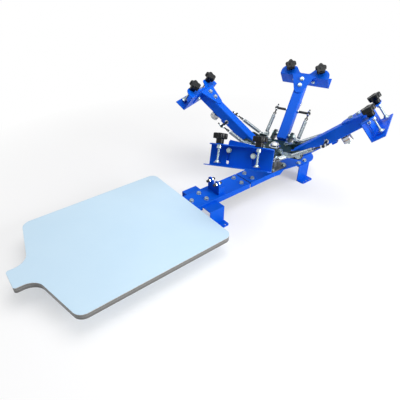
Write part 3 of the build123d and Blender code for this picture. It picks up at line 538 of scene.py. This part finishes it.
def tube(bm, place, points, radius, sides=8, closed=False):
    """Round bar along points, in millimetres."""
    count = len(points)
    across = None
    rings = []
    for i, point in enumerate(points):
        before = points[i - 1] if i or closed else point
        after = points[(i + 1) % count] if i < count - 1 or closed else point
        way = (after - before).normalized()
        across = way.orthogonal() if across is None else across - way * across.dot(way)
        across.normalize()
        side = way.cross(across)
        turns = [2 * math.pi * k / sides for k in range(sides)]
        rings.append([point + (across * math.cos(t) + side * math.sin(t)) * radius for t in turns])
    extruded(bm, place, rings, 0, closed)


def piece(name, bm, materials, body, node=None):
    """Object from a mesh in the row's frame, riding on a body."""
    bmesh.ops.recalc_face_normals(bm, faces=bm.faces)
    for edge in bm.edges:
        if len(edge.link_faces) == 2 and edge.calc_face_angle() > SHARP:
            edge.smooth = False
    for face in bm.faces:
        face.smooth = True
    mesh = bpy.data.meshes.new(name)
    bm.to_mesh(mesh)
    bm.free()
    made = bpy.data.objects.new(name, mesh)
    bpy.context.scene.collection.objects.link(made)
    for label in materials:
        mesh.materials.append(MATERIALS[label])
    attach(made, body)
    if node:
        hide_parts(node)


def shift(x=0.0, y=0.0, z=0.0):
    """Move in millimetres."""
    return Matrix.Translation(Vector((x, y, z)) * MM)


def turned(degrees, axis):
    """Turn about an axis of the frame."""
    return Matrix.Rotation(math.radians(degrees), 4, axis)


# ------------------------------------------------------------------- fasteners
def hexagon_radius(across):
    """Distance from the axis to a hexagon's side, as a function of the turn."""
    return lambda turn: across / 2 / math.cos((turn % (math.pi / 3)) - math.pi / 6)


def hex_form(bm, place, across, low, high, bore=0.0, both=False, slot=0):
    """Hexagon with the turned chamfer of a real head or nut, and a bore or a dished end."""
    reach = hexagon_radius(across)
    flat = across * HEX_FACE
    slope = math.tan(HEX_SLOPE)

    def upper(turn):
        return high - max(0.0, reach(turn) - flat) * slope

    def lower(turn):
        return low + max(0.0, reach(turn) - flat) * slope

    rows = [(flat, low), (reach, lower)] if both else [(reach, low)]
    rows += [(reach, upper), (flat, high)]
    if bore:
        rows += [(bore / 2 + BORE_EDGE, high), (bore / 2, high - BORE_EDGE), (bore / 2, low)]
        wall(bm, place, rows, segments=48, slot=slot, ring=True)
    else:
        rows += [(flat * DISH_RIM, high), (flat * DISH_FLOOR, high - DISH)]
        wall(bm, place, rows, segments=48, slot=slot)


def nut(bm, place, across, diameter, low, high, slot=0):
    """Nut chamfered on both faces, with its bore hidden inside the thread."""
    hex_form(bm, place, across, low, high, bore=diameter - NUT_BORE_INSET, both=True, slot=slot)


def plain_bar(bm, place, radius, half, edge):
    """Round bar about the middle, with a broken edge at each end."""
    rows = [(radius - edge, -half), (radius, -half + edge), (radius, half - edge),
            (radius - edge, half)]
    wall(bm, place, rows)


def washer(bm, place, low, outside=WASHER, thick=WASHER_THICK, bore=BOLT):
    """Flat washer with its edges broken."""
    rim = outside / 2 - WASHER_EDGE
    rows = [(bore / 2, low), (rim, low), (outside / 2, low + WASHER_EDGE),
            (outside / 2, low + thick - WASHER_EDGE), (rim, low + thick), (bore / 2, low + thick)]
    wall(bm, place, rows, segments=40, ring=True)


def thread(bm, place, diameter, pitch, low, high, segments=20):
    """Threaded rod with a chamfer at each end."""
    depth = pitch * THREAD_DEPTH
    crest = diameter / 2

    def ridge(height):
        return lambda turn: (
            crest - depth * abs(2 * ((height / pitch - turn / (2 * math.pi)) % 1) - 1))

    rows = [(crest - depth, low)]
    count = max(4, round((high - low) / pitch * THREAD_ROWS))
    for i in range(1, count):
        height = low + (high - low) * i / count
        rows.append((ridge(height), height))
    rows.append((crest - depth, high))
    wall(bm, place, rows, segments=segments)


def hex_bolt(bm, place, grip):
    """Washer on z = 0, chamfered head above, thread and nut below the grip."""
    washer(bm, place, 0.0)
    hex_form(bm, place, HEX, WASHER_THICK, WASHER_THICK + HEAD_HEIGHT)
    nut(bm, place, HEX, BOLT, -grip - NUT_HEIGHT, -grip)
    thread(bm, place, BOLT, BOLT_PITCH, -grip - NUT_HEIGHT - THREAD_TAIL, WASHER_THICK)


# =============================================================== base's pieces
def build_frame_bolts():
    """Hexagon bolts of the base, its feet, the post's flange and the gate."""
    bm = bmesh.new()
    for y in (SPLICE_Y - SPLICE_BOLT_OFFSET, SPLICE_Y + SPLICE_BOLT_OFFSET):
        for x in (-SPLICE_BOLT_X, SPLICE_BOLT_X):
            hex_bolt(bm, shift(x, y, BASE_TOP), SPINE_GRIP)
    for x in (-SPLICE_BOLT_X, SPLICE_BOLT_X):
        hex_bolt(bm, shift(x, FRONT_FOOT_Y, BASE_TOP), FOOT_GRIP)
    nose = shift(0, NOSE_BOLT_Y, BASE_TOP)
    hex_bolt(bm, nose, FOOT_GRIP)
    washer(bm, nose, -FOOT_GRIP + NOSE_SPACER_UP, thick=NOSE_SPACER_THICK)
    for x in (-POST_BOLT, POST_BOLT):
        for y in (-POST_BOLT, POST_BOLT):
            hex_bolt(bm, shift(x, y, BASE_TOP + POST_FLANGE_THICK), SPINE_GRIP + POST_FLANGE_THICK)
    for x in (-REAR_BOLT_X, REAR_BOLT_X):
        for side in (-0.5, 0.5):
            hex_bolt(bm, shift(x, REAR_FOOT_Y + side * REAR_BOLT_SPREAD, BASE_TOP), REAR_GRIP)
    hex_bolt(bm, shift(0, GATE_FOOT_Y, BASE_TOP + GATE_SHEET), SPINE_GRIP + GATE_SHEET)
    piece("base_bolts", bm, ["zinc"], "base", "frame_bolts")


def build_gate_stops():
    """Threaded stops with a nut on each side of the gate and round rubber tips."""
    low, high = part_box("gate_stop_bolts")
    front = low.y / MM
    rear = high.y / MM
    bm = bmesh.new()
    tips = bmesh.new()
    for side in (-1, 1):
        along = shift(side * GATE_BOLT_X, 0, GATE_BOLT_Z) @ turned(-90, "X")
        thread(bm, along, BOLT, BOLT_PITCH, front + GATE_TIP_LENGTH, rear - GATE_TIP_LENGTH)
        nut(bm, along, HEX, BOLT, GATE_FRONT - NUT_HEIGHT, GATE_FRONT)
        back = GATE_FRONT + GATE_SHEET
        nut(bm, along, HEX, BOLT, back, back + NUT_HEIGHT)
        for start, end in ((front, front + GATE_TIP_LENGTH), (rear, rear - GATE_TIP_LENGTH)):
            rubber_tip(tips, along, start, end)
    piece("gate_stops", bm, ["chrome"], "base", "gate_stop_bolts")
    piece("gate_rubber_tips", tips, ["rubber"], "base")


def rubber_tip(bm, place, face, root):
    """Rubber tip with a rounded face."""
    way = 1 if root > face else -1
    radius = GATE_TIP / 2
    rows = [(radius - 2.8, face), (radius - 1.9, face + way * 0.3), (radius - 1.4, face + way),
            (radius - 1.2, root - way * 2.0), (radius - 0.3, root - way * 1.2),
            (radius, root - way * 0.6), (radius - 0.4, root)]
    wall(bm, place, rows)


# ================================================================ arm's frames
JOINTS = {joint["name"]: joint for joint in frame["joints"]}


def joint_place(name):
    """A joint's point at rest, in metres."""
    return Vector(JOINTS[name]["pos_m"])


def joint_axis(name):
    """A joint's axis at rest, as a unit vector."""
    return Vector(JOINTS[name]["axis"]).normalized()


def frame_of(origin, x, y, z):
    """Matrix of a frame from its origin and axes."""
    made = Matrix((x, y, z)).transposed().to_4x4()
    made.translation = origin
    return made


def arm_frame(arm):
    """X along the tube, Y along the hinge, Z across the tube, from the hinge."""
    y = -joint_axis(arm + "_lift")
    z = joint_axis(arm + "_roller_spin")
    return frame_of(joint_place(arm + "_lift"), y.cross(z), y, z)


def stud_frame(arm, side):
    """Z along a knob's stud, X along the tube, from the tube's mid-height."""
    x = arm_frame(arm).to_3x3().col[0]
    z = joint_axis(f"{arm}_{side}_knob_turn")
    return frame_of(joint_place(f"{arm}_{side}_knob_turn"), x, z.cross(x), z)


def anchor_place(arm):
    """Middle between an arm's two spring anchors."""
    hinge = joint_place(arm + "_lift")
    out = Vector((hinge.x, hinge.y, 0)).normalized()
    return out * ANCHOR_RADIAL * MM + Vector((0, 0, ANCHOR_Z * MM))


def tension_frame(arm):
    """X down the springs, Y along the cross rod, from the rod."""
    rod = joint_place(arm + "_tension_swing")
    y = -joint_axis(arm + "_lift")
    x = (anchor_place(arm) - rod).normalized()
    return frame_of(rod, x, y, x.cross(y))


def spring_length(arm, degrees):
    """Rod to anchor in millimetres with the arm's lift joint turned."""
    hinge = joint_place(arm + "_lift")
    turn = Matrix.Rotation(math.radians(degrees), 3, joint_axis(arm + "_lift"))
    rod = hinge + turn @ (joint_place(arm + "_tension_swing") - hinge)
    return (rod - anchor_place(arm)).length / MM


# ================================================================ arm's pieces
def build_arm_fasteners(arm):
    """Head and clamp bolts, the hinge shaft with its nuts, and the roller's screw."""
    place = arm_frame(arm)
    bm = bmesh.new()
    for s in HEAD_BOLT_S:
        hex_bolt(bm, place @ shift(s, 0, TUBE / 2 + HEAD_SHEET), HEAD_SHEET + TUBE_WALL)
    for side in (-1, 1):
        spot = shift(CLAMP_BOLT_S, side * CLAMP_BOLT_T, CLAMP_BOLT_N)
        hex_bolt(bm, place @ spot @ turned(90, "Y"), CLAMP_SHEET + HEAD_SHEET)
    inner = CHEEK_CENTRE - CHEEK_THICK / 2 - CHEEK_GAP
    outer = CHEEK_CENTRE + CHEEK_THICK / 2 + CHEEK_GAP
    shaft = place @ turned(-90, "X")
    end = outer + HINGE_NUT_HEIGHT
    plain_bar(bm, shaft, HINGE_SHAFT / 2, end, HINGE_SHAFT_EDGE)
    for side in (-1, 1):
        flip = shaft @ turned(90 - side * 90, "X")
        hex_form(bm, flip, HINGE_NUT, outer, end, bore=HINGE_SHAFT, both=True)
        washer(bm, flip, TUBE / 2, outside=HINGE_NUT, thick=inner - TUBE / 2, bore=HINGE_SHAFT)
    under = ROLLER_TOP - 2 * ROLLER_BEARING - ROLLER_RING - RUNNING_GAP
    foot = place @ shift(ROLLER_S, 0, under) @ turned(180, "X")
    hex_bolt(bm, foot, TUBE_WALL - TUBE / 2 - under)
    washer(bm, place @ shift(ROLLER_S), -TUBE / 2 - ROLLER_SPACER, thick=ROLLER_SPACER)
    piece(f"{arm}_arm_fasteners", bm, ["zinc"], f"{arm}_arm", f"{arm}_arm_hardware")


def bearing(bm, place, low, high, outside, bore):
    """Sealed ball bearing: outer ring, sunk seals, inner ring. Slots: steel, seal."""
    rim = (outside - bore) * BEARING_RIM
    outer = outside / 2
    race = outer - rim
    inner = bore / 2
    hub = inner + rim * BEARING_HUB
    wall(bm, place, [(race, low), (outer - BEARING_EDGE, low), (outer, low + BEARING_EDGE),
                     (outer, high - BEARING_EDGE), (outer - BEARING_EDGE, high), (race, high)],
         segments=48, ring=True)
    wall(bm, place, [(inner, low), (hub, low), (hub, high), (inner, high)], segments=40, ring=True)
    wall(bm, place, [(hub, low + SEAL_SUNK), (race, low + SEAL_SUNK), (race, high - SEAL_SUNK),
                     (hub, high - SEAL_SUNK)], segments=48, slot=1, ring=True)


def build_roller(arm):
    """Registration roller: two bearings with a bronze ring between them."""
    place = arm_frame(arm) @ shift(ROLLER_S)
    bm = bmesh.new()
    top = ROLLER_TOP
    bearing(bm, place, top - ROLLER_BEARING, top, ROLLER, ROLLER_BORE)
    ring_top = top - ROLLER_BEARING
    low = ring_top - ROLLER_RING
    bearing(bm, place, low - ROLLER_BEARING, low, ROLLER, ROLLER_BORE)
    bore = ROLLER_BORE / 2
    outer = ROLLER_RING_SIZE / 2
    wall(bm, place, [(bore, low), (outer, low), (outer, ring_top), (bore, ring_top)], segments=48,
         slot=2, ring=True)
    body = f"{arm}_roller"
    piece(f"{arm}_roller_bearings", bm, ["bearing_steel", "seal", "bronze"], body, body)


def build_hinge_bearings():
    """Ball bearings in the hub's cheeks."""
    bm = bmesh.new()
    for arm in ARMS:
        place = arm_frame(arm) @ turned(-90, "X")
        for side in (-1, 1):
            low = side * CHEEK_CENTRE - CHEEK_THICK / 2
            bearing(bm, place, low, low + CHEEK_THICK, HINGE_BEARING, HINGE_SHAFT + 2 * RUNNING_GAP)
    piece("cheek_bearings", bm, ["bearing_steel", "seal"], "carousel", "hinge_bearings")


def star_radius(inset):
    """Outline of the knob: round lobes on a round core, blended as a moulding is."""
    core = KNOB / 2 - KNOB_LOBE / 3
    reach = KNOB / 2 - KNOB_LOBE / 2

    def radius(turn):
        step = 2 * math.pi / KNOB_LOBES
        off = (turn - math.pi / 2 + step / 2) % step - step / 2
        inside = (KNOB_LOBE / 2) ** 2 - (reach * math.sin(off)) ** 2
        lobe = reach * math.cos(off) + math.sqrt(inside) if inside > 0 else 0.0
        soft = KNOB_BLEND * math.log(math.exp(core / KNOB_BLEND) + math.exp(lobe / KNOB_BLEND))
        return min(soft, KNOB / 2) - inset

    return radius


def build_knob(arm, side):
    """Star grip on its neck, with the threaded stud moulded in."""
    place = stud_frame(arm, side)
    bm = bmesh.new()
    neck_top = KNOB_LOW + KNOB_NECK_HEIGHT
    top = neck_top + KNOB_HEIGHT
    neck = KNOB_NECK / 2
    rows = [(STUD / 2 + 0.4, KNOB_LOW), (neck - 1.0, KNOB_LOW), (neck, KNOB_LOW + 1.0),
            (neck, neck_top)]
    rows += [(star_radius(inset), neck_top + up) for inset, up in KNOB_FOOT]
    rows += [(star_radius(inset), top - down) for inset, down in KNOB_CROWN]
    floor = top - KNOB_CAP_SUNK
    rows += [(KNOB_CAP, top - 0.3), (KNOB_CAP - 0.5, floor), (4.0, floor), (3.4, floor + 0.3)]
    wall(bm, place, rows, segments=120)
    body = f"{arm}_{side}_knob"
    piece(f"{arm}_{side}_knob_grip", bm, ["knob_plastic"], body, body)
    stud = bmesh.new()
    thread(stud, place, STUD, BOLT_PITCH, STUD_LOW, KNOB_LOW + 1.0, segments=18)
    piece(f"{arm}_{side}_knob_stud", stud, ["zinc"], body)


def build_pad(arm, side):
    """Turned pressure pad with a rolled rim and a raised socket."""
    place = stud_frame(arm, side)
    bm = bmesh.new()
    high = PAD_LOW + PAD_HEIGHT
    bore = STUD / 2 + RUNNING_GAP
    foot = PAD / 2
    neck = PAD_TOP / 2
    rows = [(foot - 1.2, PAD_LOW), (foot - 0.3, PAD_LOW + 0.3), (foot, PAD_LOW + 1.0),
            (foot - 0.5, PAD_LOW + 1.6), (foot - 3.2, PAD_LOW + 2.6), (neck + 0.9, PAD_LOW + 4.6),
            (neck, PAD_LOW + 6.4), (neck, high - 0.4), (neck - 0.4, high), (bore, high),
            (bore, high - PAD_SOCKET)]
    wall(bm, place, rows, segments=40)
    body = f"{arm}_{side}_pad"
    piece(f"{arm}_{side}_pressure_pad", bm, ["zinc"], body, body)


def build_collars(arm):
    """Weld nuts under the clamp's ears, as a bright skin round the solid ones."""
    bm = bmesh.new()
    outer = COLLAR / 2 + COLLAR_SKIN
    inner = STUD / 2 + RUNNING_GAP - COLLAR_SKIN / 2
    low = COLLAR_TOP - COLLAR_LENGTH - COLLAR_SKIN
    high = COLLAR_TOP - COLLAR_DROP
    for side in SIDES:
        rows = [(inner, low), (outer - COLLAR_EDGE, low), (outer, low + COLLAR_EDGE), (outer, high),
                (inner, high)]
        wall(bm, stud_frame(arm, side), rows, ring=True)
    piece(f"{arm}_stud_collars", bm, ["zinc"], f"{arm}_arm")


def circle_points(centre, radius, arc, count):
    """Arc in the XZ plane, in degrees from +X towards +Z."""
    start, end = arc
    made = []
    for i in range(count + 1):
        turn = math.radians(start + (end - start) * i / count)
        made.append(centre + Vector((radius * math.cos(turn), 0, radius * math.sin(turn))))
    return made


def spring_path(arm):
    """Centre line of a close-wound extension spring, from its hook to its long lower loop."""
    low_limit, high_limit = JOINTS[arm + "_lift"]["range_deg"]
    shortest = spring_length(arm, high_limit)
    longest = spring_length(arm, low_limit)
    top = EYE_DISTANCE + EYE_RADIUS - EYE_WIRE / 2 - RUNNING_GAP - SPRING_WIRE / 2 + HOOK_RADIUS
    start = top + HOOK_LEAD
    end = shortest - ANCHOR_PIN / 2 - SPRING_WIRE - 2 * RUNNING_GAP - HOOK_LEAD / 2
    low = longest + ANCHOR_PIN / 2 + RUNNING_GAP + SPRING_WIRE / 2 - HOOK_RADIUS
    coil = (SPRING_OUTSIDE - SPRING_WIRE) / 2
    points = circle_points(Vector((top, 0, 0)), HOOK_RADIUS, HOOK_ARC, 18)
    turns = round((end - start) / SPRING_WIRE)
    whole = 360 * turns
    for angle in range(0, whole + 1, COIL_STEP):
        grown = min(1.0, min(angle, whole - angle) / COIL_BLEND)
        radius = HOOK_RADIUS + (coil - HOOK_RADIUS) * grown * grown * (3 - 2 * grown)
        x = start + (end - start) * angle / whole
        lead = HOOK_LEAD * LEAD_SHARE * (1 - grown)
        x += lead if whole - angle < COIL_BLEND else -lead
        turn = math.radians(angle)
        points.append(Vector((x, radius * math.sin(turn), -radius * math.cos(turn))))
    points += circle_points(Vector((low, 0, 0)), HOOK_RADIUS, LOOP_ARC, 12)
    points.append(Vector((end + SPRING_WIRE, 0, HOOK_RADIUS)))
    return points


def build_springs(arm):
    """Both springs of an arm."""
    bm = bmesh.new()
    path = spring_path(arm)
    for side in (-1, 1):
        tube(bm, tension_frame(arm) @ shift(0, side * SPRING_T), path, SPRING_WIRE / 2 - COIL_SLACK)
    piece(f"{arm}_lift_springs", bm, ["spring_steel"], f"{arm}_tension", f"{arm}_springs")


def build_tension_gear(arm):
    """Black cross rod and eyebolts with bright nuts."""
    place = tension_frame(arm)
    bm = bmesh.new()
    cross = place @ turned(-90, "X")
    plain_bar(bm, cross, ROD / 2, ROD_HALF, ROD_EDGE)
    for side in (-1, 1):
        flip = cross @ turned(90 - side * 90, "X")
        near = TUBE / 2 + RUNNING_GAP
        nut(bm, flip, ROD_NUT, ROD, near, near + NUT_HEIGHT, slot=1)
        along = place @ shift(0, side * SPRING_T) @ turned(90, "Y")
        root = EYE_DISTANCE - EYE_RADIUS - EYE_WIRE / 4
        thread(bm, along, EYEBOLT, EYEBOLT_PITCH, -EYEBOLT_TAIL, root, segments=16)
        gap = ROD / 2
        nut(bm, along, EYEBOLT_NUT, EYEBOLT, -gap - EYEBOLT_NUT_HEIGHT, -gap, slot=1)
        nut(bm, along, EYEBOLT_NUT, EYEBOLT, gap, gap + EYEBOLT_NUT_HEIGHT, slot=1)
        eye = place @ shift(EYE_DISTANCE, side * SPRING_T)
        ring = [Vector((math.cos(a), math.sin(a), 0)) * EYE_RADIUS
                for a in (2 * math.pi * i / EYE_STEPS for i in range(EYE_STEPS))]
        tube(bm, eye, ring, EYE_WIRE / 2, sides=12, closed=True)
    piece(f"{arm}_cross_rod", bm, ["black_steel", "chrome"], f"{arm}_tension",
          f"{arm}_tension_gear")


# ================================================================ press, studio
def dress_frame():
    """Finish of every CAD node that stays in view."""
    for part in frame["record"]["subparts"]:
        shown = frame["nodes"][part["node"]]
        for holder in shown.material_slots:
            holder.material = MATERIALS[part["material_slot"]]


def build_press():
    """Finishes and fine pieces of the whole press."""
    dress_frame()
    build_frame_bolts()
    build_gate_stops()
    build_hinge_bearings()
    for arm in ARMS:
        build_arm_fasteners(arm)
        build_roller(arm)
        build_collars(arm)
        build_springs(arm)
        build_tension_gear(arm)
        for side in SIDES:
            build_knob(arm, side)
            build_pad(arm, side)


def seen_rays(tree):
    """1 for rays from the camera and those that metal or a clear piece sends on, else 0."""
    ray = new_node(tree, "ShaderNodeLightPath")
    both = new_node(tree, "ShaderNodeMath", operation="MAXIMUM")
    every = new_node(tree, "ShaderNodeMath", operation="MAXIMUM")
    tree.links.new(ray.outputs["Is Camera Ray"], both.inputs[0])
    tree.links.new(ray.outputs["Is Glossy Ray"], both.inputs[1])
    tree.links.new(both.outputs["Value"], every.inputs[0])
    tree.links.new(ray.outputs["Is Transmission Ray"], every.inputs[1])
    return every.outputs["Value"]


def build_floor():
    """White floor that keeps the press's shadow."""
    bm = bmesh.new()
    bmesh.ops.create_grid(bm, x_segments=1, y_segments=1, size=FLOOR_HALF)
    mesh = bpy.data.meshes.new("floor")
    bm.to_mesh(mesh)
    bm.free()
    floor = bpy.data.objects.new("floor", mesh)
    bpy.context.scene.collection.objects.link(floor)
    material = bpy.data.materials.new("floor")
    material.use_nodes = True
    tree = material.node_tree
    links = tree.links
    shader = tree.nodes["Principled BSDF"]
    shader.inputs["Base Color"].default_value = FLOOR_TONE
    shader.inputs["Roughness"].default_value = FLOOR_ROUGH
    shader.inputs["Specular IOR Level"].default_value = 0.0
    place = new_node(tree, "ShaderNodeTexCoord")
    away = new_node(tree, "ShaderNodeVectorMath", operation="DISTANCE")
    away.inputs[1].default_value = STUDIO_MIDDLE
    links.new(place.outputs["Object"], away.inputs[0])
    far = new_node(tree, "ShaderNodeMapRange", From_Min=FLOOR_NEAR, From_Max=FLOOR_FAR,
                   To_Min=FLOOR_WHITE)
    links.new(away.outputs["Value"], far.inputs["Value"])
    seen = new_node(tree, "ShaderNodeMath", operation="MULTIPLY")
    links.new(far.outputs["Result"], seen.inputs[0])
    links.new(seen_rays(tree), seen.inputs[1])
    white = new_node(tree, "ShaderNodeEmission")
    white.inputs["Color"].default_value = (1.0, 1.0, 1.0, 1.0)
    mix = new_node(tree, "ShaderNodeMixShader")
    links.new(seen.outputs["Value"], mix.inputs["Fac"])
    links.new(shader.outputs["BSDF"], mix.inputs[1])
    links.new(white.outputs["Emission"], mix.inputs[2])
    links.new(mix.outputs["Shader"], tree.nodes["Material Output"].inputs["Surface"])
    mesh.materials.append(material)


def build_world():
    """White where it is seen, straight or in metal, and a soft grey dome as a light."""
    world = bpy.data.worlds.new("studio")
    world.use_nodes = True
    bpy.context.scene.world = world
    tree = world.node_tree
    links = tree.links
    background = tree.nodes["Background"]
    place = new_node(tree, "ShaderNodeTexCoord")
    split = new_node(tree, "ShaderNodeSeparateXYZ")
    links.new(place.outputs["Generated"], split.inputs["Vector"])
    dome = new_node(tree, "ShaderNodeValToRGB")
    for where, tone in DOME[1:-1]:
        dome.color_ramp.elements.new(where)
    for element, (where, tone) in zip(dome.color_ramp.elements, DOME):
        element.position = where
        element.color = (tone, tone, tone * 1.02, 1.0)
    links.new(split.outputs["Z"], dome.inputs["Fac"])
    colour = blend_colour(tree, seen_rays(tree), dome.outputs["Color"], (1.0, 1.0, 1.0))
    links.new(colour, background.inputs["Color"])


def add_light(name, place, size, power):
    """Square area light aimed at the press."""
    data = bpy.data.lights.new(name, "AREA")
    data.size = size
    data.energy = power
    lamp = bpy.data.objects.new(name, data)
    bpy.context.scene.collection.objects.link(lamp)
    lamp.location = place
    lamp.rotation_mode = "QUATERNION"
    lamp.rotation_quaternion = (LIGHT_AIM - Vector(place)).to_track_quat("-Z", "Y")


def build_lights():
    """Key from the right and rear, and a wide one overhead."""
    for lamp in LIGHTS:
        add_light(*lamp)


def build_camera():
    """Camera of the photo."""
    data = bpy.data.cameras.new("camera")
    data.sensor_width = SENSOR
    data.lens = CAMERA_LENS
    data.clip_start, data.clip_end = CAMERA_RANGE
    camera = bpy.data.objects.new("camera", data)
    bpy.context.scene.collection.objects.link(camera)
    bpy.context.scene.camera = camera
    a = math.radians(CAMERA_AZIMUTH)
    e = math.radians(CAMERA_ELEVATION)
    back = Vector((math.sin(a) * math.cos(e), -math.cos(a) * math.cos(e), math.sin(e)))
    camera.location = CAMERA_TARGET + back * CAMERA_DISTANCE
    camera.rotation_mode = "QUATERNION"
    camera.rotation_quaternion = (-back).to_track_quat("-Z", "Y")


build_press()
build_floor()
build_world()
build_lights()
build_camera()
bpy.context.scene.view_settings.view_transform = "Standard"
